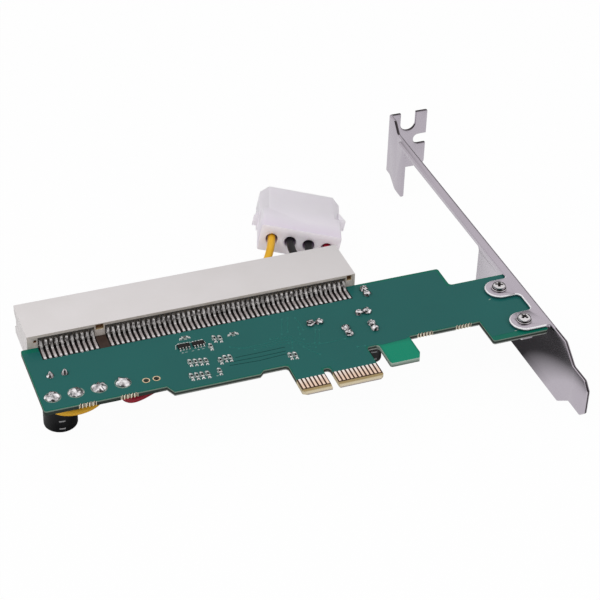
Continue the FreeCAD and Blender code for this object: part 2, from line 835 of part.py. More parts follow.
def chip_parts(upright, level):
    """Bodies and end caps of a set of chip parts."""
    bodies, ends = [], []
    for places, standing in ((upright, True), (level, False)):
        for x, y in places:
            body, caps = chip_part(x, y, standing)
            bodies.append(body)
            ends += caps
    return bodies, ends


def make_arrays():
    """Resistor arrays: bodies and their rows of terminals."""
    bodies, terminals = [], []
    pitch = array_length / array_count
    for x, y in array_places:
        half = (array_length / 2, array_width / 2)
        bodies.append(box((x - half[0], y - half[1], 0), (x + half[0], y + half[1], array_height)))
        for i in range(array_count):
            middle = x + (i - (array_count - 1) / 2) * pitch
            for side in (-1, 1):
                near = y + side * half[1]
                low, high = sorted((near, near + side * array_terminal_reach))
                terminals.append(box((middle - array_terminal_width / 2, low, 0),
                                     (middle + array_terminal_width / 2, high, array_height)))
    return bodies, terminals


def make_wire_joints():
    """Solder domes of the power wires, each over the end of its conductor."""
    joints = []
    shoulder = wire_joint_radius - wire_joint_shoulder
    for x in wire_joint_xs:
        profile = [
            (0, conductor_end), (conductor_radius, conductor_end), (conductor_radius, 0),
            (wire_joint_radius, 0), (shoulder, wire_joint_height - wire_joint_crown), (0, wire_joint_height)]
        joints.append(turned(profile, x, wire_joint_y))
    return joints


def make_conductors():
    """Bare ends of the power wires, through the board."""
    return [rod(conductor_radius, wire_start, conductor_end, x, wire_joint_y) for x in wire_joint_xs]


def make_wire(number, name):
    """One wire: straight runs joined by arcs as large as the runs allow."""
    joint = V(wire_joint_xs[number], wire_joint_y, wire_start)
    stations = [joint, joint - V(0, 0, wire_drop)]
    stations += [V(*point) for point in wire_routes[name]]
    stations += [plug_way(number, -wire_lead_ins[name]), plug_way(number, wire_entry - wire_end_gap)]
    radii = [0]
    for before, corner, after in zip(stations, stations[1:], stations[2:]):
        turn = math.pi - (before - corner).getAngle(after - corner)
        shorter = min(before.distanceToPoint(corner), corner.distanceToPoint(after))
        radii.append(0.45 * shorter / math.tan(turn / 2))
    path = rounded_wire(stations, radii + [0], closed=False)
    ahead = stations[1] - stations[0]
    section = Part.Wire(Part.makeCircle(wire_radius, stations[0], ahead))
    tube = path.makePipeShell([section], True, False)
    expected = math.pi * wire_radius ** 2 * path.Length
    print(name, "length", round(path.Length, 1), "radii", [round(radius, 1) for radius in radii[1:]],
          "volume ratio", round(tube.Volume / expected, 4))
    return tube


def plug_placed(solids):
    """Pieces of the plug, turned and set down where it lies."""
    place = FreeCAD.Placement(plug_origin, plug_turn).toMatrix()
    return [solid.transformed(place) for solid in solids]


def plug_way(number, along):
    """A point on the axis of one of the plug's ways, measured from its rear face."""
    middle = V(plug_hole_xs()[number], along, plug_height / 2)
    return FreeCAD.Placement(plug_origin, plug_turn).multVec(middle)


def plug_hole_xs():
    """Places of the plug's four ways."""
    count = len(wire_joint_xs)
    return [(i - (count - 1) / 2) * plug_pitch for i in range(count)]


def shroud_outline(inset):
    """Section of the plug's shroud in (x, z): a block with two bevelled upper corners."""
    half = plug_shroud_width / 2 - inset
    chamfer = plug_shroud_chamfer - inset * math.tan(math.pi / 8)
    low, high = inset, plug_height - inset
    return [
        (-half, low, 0), (half, low, 0), (half, high - chamfer, 0), (half - chamfer, high, 0),
        (-half + chamfer, high, 0), (-half, high - chamfer, 0)]


def make_plug_housing():
    """Plug body drawn with the wires entering at y = 0 and the shroud's mouth at the far end."""
    half = plug_rear_width / 2
    mouth = plug_rear_length + plug_shroud_length
    rear = box((-half, 0, 0), (half, plug_rear_length, plug_height))
    upright = [edge for edge in rear.Edges if edge.BoundBox.YLength > plug_rear_length / 2]
    rear = rear.makeFillet(plug_rear_edge, upright)
    shroud = plate_xz(shroud_outline(0), plug_rear_length, mouth)
    pieces = [shroud]
    reach = plug_shroud_width / 2
    ear_rear = plug_rear_length + plug_ear_start
    ear_front = ear_rear + plug_ear_length
    ear_lows = {-1: plug_ear_low, 1: plug_height - plug_ear_low - plug_ear_height}
    for side, ear_low in ear_lows.items():
        inner = side * (reach - plug_wall / 2)
        ear = [(inner, ear_rear, 0), (side * (reach + plug_ear_reach), ear_rear, 0), (inner, ear_front, 0)]
        pieces.append(plate_xy(ear, ear_low, ear_low + plug_ear_height))
    body = rear.fuse(pieces).removeSplitter()
    tools = [plate_xz(shroud_outline(plug_wall), plug_rear_length + plug_wall, mouth)]
    for x in plug_hole_xs():
        tools.append(Part.makeCylinder(plug_hole_radius, plug_rear_length + plug_wall,
                                       V(x, 0, plug_height / 2), V(0, 1, 0)))
    return plug_placed([body.cut(tools)])


def make_plug_pins():
    """Round pins of the plug: a crimp sleeve behind the wire, a body in its way and a bare pin."""
    sleeve = wire_radius
    body = plug_hole_radius - pin_body_clearance
    body_end = plug_rear_length + plug_wall
    body_start = body_end - pin_body_length
    tip = body_end + pin_length
    pins = []
    for x in plug_hole_xs():
        points = [
            (0, wire_entry), (sleeve, wire_entry), (sleeve, body_start), (body, body_start), (body, body_end),
            (pin_radius, body_end), (pin_radius, tip - pin_point), (pin_radius - pin_point, tip), (0, tip)]
        outline = [V(x + radius, y, plug_height / 2) for radius, y in points]
        face = Part.Face(Part.makePolygon(outline + outline[:1]))
        pins.append(face.revolve(V(x, 0, plug_height / 2), V(0, 1, 0), 360))
    return plug_placed(pins)


def save(name, solids):
    """Write one node in the part's frame."""
    shape = solids[0] if len(solids) == 1 else Part.makeCompound(solids)
    shape.translated(frame_shift).exportStep("parts/" + name + ".step")


def main():
    os.makedirs("parts", exist_ok=True)
    edge_contacts = make_edge_contacts()
    slot_contacts = make_slot_contacts()
    array_bodies, array_terminals = make_arrays()
    resistor_bodies, resistor_ends = chip_parts(solder_side_upright, solder_side_level)
    capacitor_bodies, capacitor_ends = chip_parts(component_side_upright, component_side_level)
    bulk_x, bulk_y = bulk_place
    small = small_places_x + small_places_y
    nodes = {
        "circuit_board": make_board(),
        "edge_contacts_solder_side": edge_contacts,
        "edge_contacts_component_side": mirrored_below(edge_contacts),
        "header_hole_rings": make_header_rings(),
        "card_slot_housing": make_slot_housing(),
        "slot_contacts_solder_side": slot_contacts,
        "slot_contacts_component_side": mirrored_below(slot_contacts),
        "mounting_bracket": make_bracket(),
        "bracket_screws": make_screws(),
        "bracket_nuts": make_nuts(),
        "bulk_capacitor_can": [make_can(bulk_x, bulk_y, bulk_can_radius, bulk_can_height)],
        "bulk_capacitor_seal": [make_seal(bulk_x, bulk_y, bulk_can_radius)],
        "small_capacitor_cans": [make_can(x, y, small_can_radius, small_can_height) for x, y in small],
        "small_capacitor_seals": [make_seal(x, y, small_can_radius) for x, y in small],
        "capacitor_leads": make_leads(),
        "capacitor_solder_joints": make_lead_joints(),
        "bridge_chip": make_chip(),
        "bridge_chip_leads": make_chip_leads(),
        "crystal_base": make_crystal_base(),
        "crystal_can": make_crystal_can(),
        "voltage_regulator": make_regulator(),
        "voltage_regulator_leads": make_regulator_leads(),
        "resistor_arrays": array_bodies,
        "resistor_array_terminals": array_terminals,
        "chip_resistors": resistor_bodies,
        "chip_resistor_ends": resistor_ends,
        "chip_capacitors": mirrored_below(capacitor_bodies),
        "chip_capacitor_ends": mirrored_below(capacitor_ends),
        "wire_solder_joints": make_wire_joints(),
        "wire_conductors": make_conductors(),
        "power_plug_housing": make_plug_housing(),
        "power_plug_pins": make_plug_pins(),
    }
    for number, colour in enumerate(wire_routes):
        nodes["power_wire_" + colour] = [make_wire(number, colour)]
    for name, solids in nodes.items():
        for solid in solids:
            if not solid.isValid():
                print(name, "has an invalid solid")
        save(name, solids)
    print(len(nodes), "nodes,", sum(len(solids) for solids in nodes.values()), "solids")


main()
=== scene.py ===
# %% [markdown]
# # A small adapter card, dressed in Blender
#
# The card is a short green circuit board. It carries a long white card slot on its upper edge, a folded
# steel bracket on its right, and four power wires that end in a white plug. It lies with its solder side up.
# The CAD frame holds every solid at its true size. This lesson dresses it: the wires, the solder, the bent
# contacts, the printed marks and a finish for each surface.

import math

import bmesh
import bpy
from mathutils import Matrix, Vector, noise


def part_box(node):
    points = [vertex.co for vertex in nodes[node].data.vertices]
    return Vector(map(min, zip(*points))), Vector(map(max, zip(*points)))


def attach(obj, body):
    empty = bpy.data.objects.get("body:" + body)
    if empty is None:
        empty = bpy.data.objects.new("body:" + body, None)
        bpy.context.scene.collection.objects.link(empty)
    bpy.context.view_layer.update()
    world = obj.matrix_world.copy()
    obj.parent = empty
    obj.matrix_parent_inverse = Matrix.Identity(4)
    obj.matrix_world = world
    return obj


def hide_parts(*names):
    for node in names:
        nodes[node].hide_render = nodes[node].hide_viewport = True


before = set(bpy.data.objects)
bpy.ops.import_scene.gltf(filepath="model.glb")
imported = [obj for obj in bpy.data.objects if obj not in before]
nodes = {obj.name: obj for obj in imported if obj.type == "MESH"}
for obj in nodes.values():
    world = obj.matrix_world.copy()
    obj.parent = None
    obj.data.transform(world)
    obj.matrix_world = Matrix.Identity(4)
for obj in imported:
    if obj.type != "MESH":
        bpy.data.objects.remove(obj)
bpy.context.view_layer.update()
scene = bpy.context.scene

MM = 0.001
# Sizes below are in millimetres about the card's own datums: x = 0 at the key of the edge connector,
# y = 0 at the tips of the slot contacts' feet, z = 0 on the board's solder side.
DATUM_IN_FRAME = Vector((-1.70, -14.50, 17.50))
BOARD_THICKNESS = 1.2
UNDERSIDE = -BOARD_THICKNESS
COPPER = 0.03


def on_card(x, y, z):
    """A place on the card in millimetres, as a point of the frame in metres."""
    return (Vector((x, y, z)) + DATUM_IN_FRAME) * MM


def from_frame(point):
    """A point of the frame in metres, as a place on the card in millimetres."""
    return Vector(point) / MM - DATUM_IN_FRAME


def shown(name, data):
    """A new object in the scene."""
    thing = bpy.data.objects.new(name, data)
    scene.collection.objects.link(thing)
    return thing


print("frame:", len(nodes), "nodes")

# %% [markdown]
# ## Camera
#
# The camera was found from straight edges of known length: the slot, the board and the bracket. Its three
# axes are written out below, so the picture lines up with the photograph. A long lens keeps the perspective
# mild.

# %% Camera
CAMERA_PLACE = Vector((-127.43, -340.37, 272.71))
CAMERA_RIGHT = Vector((0.9367996, -0.3489584, 0.0251887))
CAMERA_DOWN = Vector((-0.1851382, -0.5555274, -0.8106252))
CAMERA_AHEAD = Vector((0.2968674, 0.7547300, -0.5850234))

camera_data = bpy.data.cameras.new("camera")
camera_data.sensor_width = 36.0
camera_data.lens = 105.263
camera_data.clip_start = 0.01
camera = shown("camera", camera_data)
turn = Matrix((CAMERA_RIGHT, -CAMERA_DOWN, -CAMERA_AHEAD)).transposed()
camera.matrix_world = Matrix.Translation(CAMERA_PLACE * MM) @ turn.to_4x4()
scene.camera = camera
print("camera at", [round(value, 3) for value in camera.location])

# %% [markdown]
# ## Node wiring
#
# A material is a small circuit of its own, and so is a Geometry Nodes tree. The helper below places nodes and
# joins them in one line each, so the steps that follow read as sums and mixtures rather than as bookkeeping.

# %% Node wiring


class Wiring:
    """Short ways to place and join the nodes of one tree."""

    def __init__(self, tree):
        self.tree = tree

    def feed(self, socket, value):
        """Join a socket to another, or give it a constant."""
        if isinstance(value, bpy.types.NodeSocket):
            self.tree.links.new(value, socket)
        else:
            socket.default_value = value

    def place(self, kind, inputs=None, **settings):
        """A new node with its settings, and what goes into its inputs by name or number."""
        node = self.tree.nodes.new(kind)
        for name, value in settings.items():
            setattr(node, name, value)
        for label, value in (inputs or {}).items():
            self.feed(node.inputs[label], value)
        return node

    def maths(self, operation, first, second=0.0):
        return self.place("ShaderNodeMath", {0: first, 1: second}, operation=operation).outputs[0]

    def plus(self, first, second):
        return self.maths("ADD", first, second)

    def minus(self, first, second):
        return self.maths("SUBTRACT", first, second)

    def times(self, first, *others):
        for other in others:
            first = self.maths("MULTIPLY", first, other)
        return first

    def most(self, first, second):
        return self.maths("MAXIMUM", first, second)

    def over(self, value, limit):
        return self.maths("GREATER_THAN", value, limit)

    def under(self, value, limit):
        return self.maths("LESS_THAN", value, limit)

    def between(self, value, low, high):
        return self.times(self.over(value, low), self.under(value, high))

    def ramp(self, value, low, high, start=0.0, end=1.0):
        """From start at low to end at high, in an even slope."""
        given = dict(enumerate((value, low, high, start, end)))
        return self.place("ShaderNodeMapRange", given).outputs[0]

    def mix(self, share, first, second):
        return self.place("ShaderNodeMix", {0: share, 6: first, 7: second}, data_type="RGBA").outputs[2]

    def noise(self, scale, detail=2.0):
        place = self.place("ShaderNodeTexCoord").outputs["Object"]
        given = {"Vector": place, "Scale": scale, "Detail": detail}
        return self.place("ShaderNodeTexNoise", given).outputs[0]

    def split(self, vector):
        return self.place("ShaderNodeSeparateXYZ", {0: vector}).outputs

    def facing(self, kind="True Normal"):
        """The direction that the surface faces."""
        return self.split(self.place("ShaderNodeNewGeometry").outputs[kind])

    def card_axes(self):
        """Object coordinates, as the three datum coordinates of the card in millimetres."""
        axes = self.split(self.place("ShaderNodeTexCoord").outputs["Object"])
        return [self.minus(self.maths("DIVIDE", axes[i], MM), DATUM_IN_FRAME[i]) for i in range(3)]

    def reach(self, vector, direction):
        """How far a vector reaches along a level direction."""
        return self.plus(self.times(vector[0], direction[0]), self.times(vector[1], direction[1]))


def new_group(name, kind, inputs, outputs):
    """An empty node group with its named sockets."""
    tree = bpy.data.node_groups.new(name, kind)
    for in_out, sockets in (("INPUT", inputs), ("OUTPUT", outputs)):
        for label, socket in sockets.items():
            tree.interface.new_socket(label, in_out=in_out, socket_type="NodeSocket" + socket)
    return tree


def rgb(red, green, blue):
    return (red, green, blue, 1.0)


print("wiring ready")

# %% [markdown]
# ## One shared finish group
#
# No real surface has a single colour. Plastic is cloudy, metal is patchy and both have a fine grain. A node
# group gives every material the same two layers, broad patches and fine grain, each at its own scale. It puts
# out a colour, a roughness and a height for a bump.

# %% Shared finish group
PATCH_EDGE = (0.35, 0.65)
PATCH_IN_ROUGHNESS = 0.6
GRAIN_DEPTH = 0.02
FINISHES = {}


def finish_group():
    tree = new_group("cloudy_finish", "ShaderNodeTree", {
        "Color": "Color", "Patch color": "Color", "Patch scale": "Float", "Patch share": "Float",
        "Grain scale": "Float", "Roughness low": "Float", "Roughness high": "Float"},
        {"Color": "Color", "Roughness": "Float", "Height": "Float"})
    wiring = Wiring(tree)
    given = wiring.place("NodeGroupInput").outputs
    patches = wiring.ramp(wiring.noise(given["Patch scale"], 3.0), *PATCH_EDGE)
    grain = wiring.noise(given["Grain scale"])
    share = wiring.times(patches, given["Patch share"])
    mixed = wiring.plus(wiring.times(patches, PATCH_IN_ROUGHNESS),
                        wiring.times(grain, 1 - PATCH_IN_ROUGHNESS))
    wiring.place("NodeGroupOutput", {
        "Color": wiring.mix(share, given["Color"], given["Patch color"]),
        "Roughness": wiring.ramp(mixed, 0.0, 1.0, given["Roughness low"], given["Roughness high"]),
        "Height": grain})
    return tree


CLOUDY_FINISH = finish_group()


def finish(name, color, patch, rough, patch_scale, share, grain_scale, bump, metallic=0.0, specular=0.5):
    """A material with the shared finish, kept under its name."""
    material = bpy.data.materials.new(name)
    material.use_nodes = True
    wiring = Wiring(material.node_tree)
    values = dict(enumerate((rgb(*color), rgb(*patch), patch_scale, share, grain_scale, *rough)))
    group = wiring.place("ShaderNodeGroup", values, node_tree=CLOUDY_FINISH, name="finish").outputs
    relief = wiring.place("ShaderNodeBump", {"Strength": bump, "Distance": GRAIN_DEPTH * MM,
                                             "Height": group["Height"]})
    shader = material.node_tree.nodes["Principled BSDF"].inputs
    for label, value in (("Base Color", group["Color"]), ("Roughness", group["Roughness"]),
                         ("Normal", relief.outputs[0]), ("Metallic", metallic),
                         ("Specular IOR Level", specular)):
        wiring.feed(shader[label], value)
    FINISHES[name] = material


def opened(name):
    """A finish to work on: its wiring, its shader's sockets and what its group puts out."""
    tree = FINISHES[name].node_tree
    return Wiring(tree), tree.nodes["Principled BSDF"].inputs, tree.nodes["finish"].outputs


print("shared finish group:", [socket.name for socket in CLOUDY_FINISH.interface.items_tree])

# %% [markdown]
# ## Finishes
#
# Each finish below is one row: a main colour, a second colour for its patches, a range of roughness, the
# scale and share of the patches, the scale and depth of the grain, and last, where they differ from plain
# plastic, how metallic and how shiny it is. Metals take their colour from what they reflect, so theirs is the
# tint of the reflection.

# %% Plain finishes
PLAIN_FINISHES = {
    "slot_plastic": ((0.74, 0.71, 0.71), (0.69, 0.66, 0.65), (0.42, 0.55), 90, 0.5, 9000, 0.08),
    "slot_contact": ((0.64, 0.62, 0.61), (0.05, 0.045, 0.043), (0.14, 0.28), 1300, 0.92, 12000, 0.15),
    "tinned_contact": ((0.52, 0.50, 0.49), (0.17, 0.155, 0.145), (0.22, 0.42), 1500, 0.85, 12000, 0.15, 1.0),
    "bracket_steel": ((0.47, 0.43, 0.48), (0.43, 0.395, 0.44), (0.20, 0.27), 60, 0.6, 16000, 0.02, 1.0),
    "screw_plate": ((0.70, 0.68, 0.69), (0.50, 0.48, 0.48), (0.05, 0.12), 400, 0.6, 9000, 0.03, 1.0),
    "seal_rubber": ((0.02, 0.02, 0.02), (0.035, 0.033, 0.03), (0.6, 0.75), 500, 0.6, 9000, 0.15),
    "solder": ((0.80, 0.77, 0.78), (0.34, 0.31, 0.32), (0.06, 0.18), 1300, 0.85, 6000, 0.25, 1.0),
    "solder_bright": ((1.0, 0.98, 0.99), (0.06, 0.055, 0.06), (0.03, 0.10), 900, 0.78, 6000, 0.2, 1.0),
    "bead_solder": ((1.0, 0.98, 0.99), (0.07, 0.06, 0.06), (0.03, 0.10), 1500, 1.0, 6000, 0.2, 1.0),
    "chip_solder": ((0.90, 0.94, 0.92), (0.30, 0.33, 0.32), (0.10, 0.25), 2200, 0.80, 9000, 0.2, 1.0),
    "sleeve_black": ((0.005, 0.005, 0.006), (0.01, 0.01, 0.011), (0.22, 0.34), 250, 0.6, 7000, 0.06, 0, 0.2),
    "can_metal": ((0.62, 0.62, 0.63), (0.52, 0.52, 0.53), (0.25, 0.4), 600, 0.6, 9000, 0.05, 1.0),
    "chip_plastic": ((0.018, 0.018, 0.02), (0.03, 0.03, 0.03), (0.5, 0.62), 300, 0.6, 14000, 0.25),
    "crystal_metal": ((0.62, 0.61, 0.60), (0.52, 0.51, 0.50), (0.2, 0.32), 200, 0.5, 9000, 0.04, 1.0),
    "resistor_coat": (
        (0.005, 0.005, 0.005), (0.020, 0.015, 0.014), (0.25, 0.4), 1500, 0.7, 9000, 0.08, 0.0, 0.12),
    "alumina": ((0.38, 0.44, 0.42), (0.17, 0.22, 0.20), (0.4, 0.5), 1800, 0.8, 9000, 0.1),
    "ceramic": ((0.42, 0.29, 0.18), (0.35, 0.24, 0.15), (0.45, 0.55), 900, 0.6, 9000, 0.1),
    "copper": ((0.62, 0.42, 0.32), (0.70, 0.66, 0.62), (0.25, 0.4), 900, 0.6, 9000, 0.1, 1.0),
    "wire_yellow": ((0.84, 0.46, 0.02), (0.74, 0.38, 0.018), (0.32, 0.42), 120, 0.6, 7000, 0.08, 0.0, 0.25),
    "wire_black": ((0.01, 0.01, 0.011), (0.018, 0.017, 0.017), (0.3, 0.42), 120, 0.6, 7000, 0.08, 0.0, 0.25),
    "wire_red": ((0.34, 0.004, 0.022), (0.26, 0.004, 0.016), (0.32, 0.42), 120, 0.6, 7000, 0.08, 0.0, 0.25),
    "plug_plastic": ((0.86, 0.82, 0.88), (0.80, 0.76, 0.83), (0.35, 0.45), 70, 0.5, 7000, 0.04),
    "pin_brass": ((0.66, 0.62, 0.54), (0.56, 0.52, 0.46), (0.2, 0.32), 500, 0.5, 9000, 0.05, 1.0),
    "print_grey": ((0.34, 0.34, 0.35), (0.24, 0.24, 0.25), (0.4, 0.5), 1500, 0.7, 9000, 0.05),
    "print_white": ((0.68, 0.72, 0.70), (0.50, 0.57, 0.54), (0.5, 0.6), 2500, 0.7, 9000, 0.05),
    "solder_mask": ((0.002, 0.135, 0.09), (0.003, 0.115, 0.08), (0.26, 0.36), 60, 0.5, 7000, 0.04, 0.0, 0.12),
    "mask_on_copper": (
        (0.011, 0.117, 0.106), (0.014, 0.107, 0.098), (0.26, 0.34), 45, 0.6, 7000, 0.04, 0.0, 0.12),
    "mask_line": ((0.022, 0.160, 0.140), (0.016, 0.138, 0.122), (0.3, 0.4), 300, 0.5, 7000, 0.04, 0.0, 0.12),
    "mask_gap": ((0.003, 0.048, 0.044), (0.005, 0.060, 0.054), (0.3, 0.4), 300, 0.5, 7000, 0.04, 0.0, 0.12),
    "pad_rim": ((0.30, 0.36, 0.31), (0.16, 0.24, 0.20), (0.3, 0.45), 900, 0.7, 7000, 0.05),
    "ring_gold": ((0.78, 0.62, 0.42), (0.66, 0.52, 0.35), (0.25, 0.38), 900, 0.6, 7000, 0.05, 1.0),
    "gold_plate": ((0.90, 0.69, 0.54), (0.80, 0.57, 0.43), (0.22, 0.34), 700, 0.5, 9000, 0.04, 1.0),
    # Near-black painted shade: under the row of slot feet, in the screws' crosses and in the gap above their
    # washers
    "bare_window": ((0.006, 0.005, 0.005), (0.012, 0.009, 0.008), (0.5, 0.65), 700, 0.7, 7000, 0.1, 0.0, 0.1),
    "bare_brown": ((0.050, 0.030, 0.023), (0.034, 0.020, 0.016), (0.5, 0.65), 500, 0.7, 7000, 0.1, 0.0, 0.2),
}
for name, values in PLAIN_FINISHES.items():
    finish(name, *values)
print("finishes:", len(FINISHES))

# %% [markdown]
# ## Plug and contacts
#
# Some finishes change from place to place. The plug is natural nylon, and light gets a little way into it.
# Painted shade deepens its tone towards its rear, and painted light makes its rear face pale. The slot's
# contacts are blotchy between slot and board, pale and matt on their soldered feet, and whitest at the tips.

# %% Plug and contacts
PLUG_AXIS = (0.337, 0.940)
PLUG_REAR = 43.3  # Where the plug's rear face lies along its axis
# Painted shade deepens the plug towards its rear, and painted light makes its rear face pale
PLUG_SHADE_OVER = (6.0, 0.3)
PLUG_REAR_SHADE = rgb(0.75, 0.68, 0.78)
PLUG_REAR_FACE_LIGHT = rgb(0.97, 0.89, 0.98)
FOOT_STARTS = (3.6, 2.9)
TIP_STARTS = (0.9, 0.2)
FOOT_PALE = (rgb(0.56, 0.51, 0.505), rgb(0.90, 0.88, 0.88))
FOOT_STREAK = rgb(0.24, 0.21, 0.20)


def plug_finish():
    wiring, shader, cloudy = opened("plug_plastic")
    for label, value in (("Weight", 0.6), ("Radius", (1.0, 0.95, 1.0)), ("Scale", 2.5 * MM)):
        shader["Subsurface " + label].default_value = value
    along = wiring.reach(wiring.card_axes(), PLUG_AXIS)
    rear = wiring.ramp(along, *[PLUG_REAR + step for step in PLUG_SHADE_OVER])
    shaded_to_rear = wiring.mix(rear, cloudy["Color"], PLUG_REAR_SHADE)
    rear_face = wiring.ramp(wiring.reach(wiring.facing("Normal"), PLUG_AXIS), -0.35, -0.85)
    wiring.feed(shader["Base Color"], wiring.mix(rear_face, shaded_to_rear, PLUG_REAR_FACE_LIGHT))


def contact_finish():
    wiring, shader, cloudy = opened("slot_contact")
    x, y, z = wiring.card_axes()
    foot = wiring.ramp(y, *FOOT_STARTS)
    pale = wiring.mix(wiring.ramp(y, *TIP_STARTS), *FOOT_PALE)
    pale = wiring.mix(wiring.ramp(wiring.noise(2200), 0.35, 0.7, 0.0, 0.55), pale, FOOT_STREAK)
    wiring.feed(shader["Base Color"], wiring.mix(foot, cloudy["Color"], pale))
    wiring.feed(shader["Metallic"], wiring.ramp(foot, 0.0, 1.0, 0.55, 0.35))


plug_finish()
contact_finish()
print("plug and contacts finished")

# %% [markdown]
# ## Board finish
#
# The board is glass-fibre laminate with a green lacquer over its faces. Where no copper lies under it, the
# lacquer is a clear emerald; over copper it looks darker. The cut edges show the laminate: tan on the
# bevelled connector, pale cream on the ridges that were broken out of the panel. Elsewhere, and on the hook
# tab, the sides have a painted highlight under the arris and painted shade below it. The connector's nose
# has painted shade towards its foot, and its faces turned down are painted dark as shade. The surface's own
# normal tells faces from edges, and the connector's tongue is bare brown laminate between its contacts.

# %% Board finish
FACE_LEVEL = 0.985  # Least upward share of a normal that still counts as a face
# Painted light on the board's sides: pale under the arris as a highlight, dark below it as shade
EDGE_HIGHLIGHT_FROM = (0.66, 0.78)  # Height shares of the side between which the pale line begins
EDGE = (rgb(0.026, 0.036, 0.030), rgb(0.17, 0.23, 0.19))
EDGE_LIT_BY_FLOOR = rgb(0.30, 0.32, 0.30)
HOOK_X = (14.8, 24.2)
# Painted light on the hook tab's sides: dark below as shade, pale above as a highlight
HOOK_EDGE_SHADE_TO_HIGHLIGHT = (rgb(0.09, 0.12, 0.10), rgb(0.42, 0.52, 0.45))
LIT_LACQUER = rgb(0.002, 0.245, 0.142)  # Where light from below shines through the bare laminate
SCAR_CENTRES = (-56.4, -46.5, 28.0, 38.25)
SCAR_HALF_LENGTH = 2.05
SCAR_DARK = rgb(0.055, 0.035, 0.018)
SCAR_RIDGE = (rgb(0.78, 0.68, 0.48), rgb(0.95, 0.90, 0.76))
TONGUE_X = (-8.3, 12.3)
TONGUE_BARE_BELOW = -26.35
TONGUE_BARE = (rgb(0.030, 0.012, 0.007), rgb(0.085, 0.042, 0.026))
TONGUE_BEVEL = (rgb(0.26, 0.18, 0.075), rgb(0.46, 0.35, 0.18))
TONGUE_BEVEL_FOOT = rgb(0.62, 0.54, 0.38)
# Painted shade: the nose darkens towards its foot, and faces turned down are dark
TONGUE_NOSE_LIGHT_TO_SHADE = (rgb(0.66, 0.58, 0.46), rgb(0.34, 0.30, 0.29))
TONGUE_UNDERSIDE_SHADE = rgb(0.10, 0.075, 0.05)
EDGE_ROUGHNESS = 0.65


def board_finish():
    wiring, shader, cloudy = opened("solder_mask")
    x, y, z = wiring.card_axes()
    face_x, face_y, face_z = wiring.facing()
    is_side = wiring.under(wiring.maths("ABSOLUTE", face_z), FACE_LEVEL)
    is_front = wiring.under(face_y, -0.97)
    fibre = wiring.noise(3000)
    height = wiring.ramp(z, UNDERSIDE, 0.0)
    side = wiring.mix(wiring.ramp(height, *EDGE_HIGHLIGHT_FROM), *EDGE)
    floor_lit = wiring.times(wiring.ramp(height, 0.36, 0.10), wiring.ramp(x, -40.0, -37.0))
    side = wiring.mix(floor_lit, side, EDGE_LIT_BY_FLOOR)
    hook = wiring.times(wiring.between(x, *HOOK_X), wiring.ramp(y, -18.8, -21.0))
    side = wiring.mix(hook, side, wiring.mix(height, *HOOK_EDGE_SHADE_TO_HIGHLIGHT))
    in_scar = 0.0
    for centre in SCAR_CENTRES:
        here = wiring.between(x, centre - SCAR_HALF_LENGTH, centre + SCAR_HALF_LENGTH)
        in_scar = wiring.plus(in_scar, here)
    scar = wiring.mix(is_front, SCAR_DARK, wiring.mix(height, *SCAR_RIDGE))
    side = wiring.mix(in_scar, side, scar)
    in_tongue = wiring.times(wiring.between(x, *TONGUE_X), wiring.under(y, TONGUE_BARE_BELOW))
    bevel = wiring.mix(wiring.ramp(z, -0.14, -0.24), wiring.mix(fibre, *TONGUE_BEVEL), TONGUE_BEVEL_FOOT)
    nose = wiring.mix(wiring.ramp(z, -0.50, -0.70), *TONGUE_NOSE_LIGHT_TO_SHADE)
    tan = wiring.mix(wiring.under(face_z, -0.1), wiring.mix(is_front, bevel, nose), TONGUE_UNDERSIDE_SHADE)
    side = wiring.mix(in_tongue, side, tan)
    bare_hook = wiring.times(hook, wiring.times(wiring.ramp(x, 14.8, 16.0), wiring.ramp(x, 24.0, 23.0)))
    lacquer = wiring.mix(bare_hook, cloudy["Color"], LIT_LACQUER)
    face = wiring.mix(in_tongue, lacquer, wiring.mix(fibre, *TONGUE_BARE))
    wiring.feed(shader["Base Color"], wiring.mix(is_side, face, side))
    wiring.feed(shader["Roughness"], wiring.most(cloudy["Roughness"], wiring.times(is_side, EDGE_ROUGHNESS)))


board_finish()
print("board finished, with", len(SCAR_CENTRES), "scars")

# %% [markdown]
# ## Slot moulding
#
# The slot is moulded in an off-white plastic. Its rear wall, where the contacts come out, has a painted warm
# grey shade, and painted dark shade stands for the pockets behind the contacts. Both follow the wall's
# direction, so they stay on that wall alone. The end recesses have painted dark brown shade inside, paler
# tan at the lip.

# %% Slot moulding
# Painted warm grey shade on the slot's rear wall
REAR_WARM_SHADE = rgb(0.50, 0.44, 0.39)
slot_low, slot_high = [from_frame(corner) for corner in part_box("card_slot_housing")]
RECESS_X = (slot_low.x + 0.1, slot_high.x - 0.1)
RECESS_Y = (5.12, 6.6)
RECESS_HEIGHT = (1.0, 3.38)
# Painted shade inside the end recesses: dark brown deep inside, paler tan at the lip
RECESS_SHADE_TO_LIP = (rgb(0.210, 0.100, 0.045), rgb(0.46, 0.36, 0.20))
LIP_RIGHT_OF = -60.0  # The recess at the left end has no pale lip
CONTACT_ROWS = ((-62.2, -48.3), (-45.7, 16.5))
POCKET_HEIGHT = (0.05, 2.75)
# Painted shade for the pockets behind the contacts
POCKET_SHADE = rgb(0.020, 0.017, 0.015)
POCKET_SHARE = 0.92


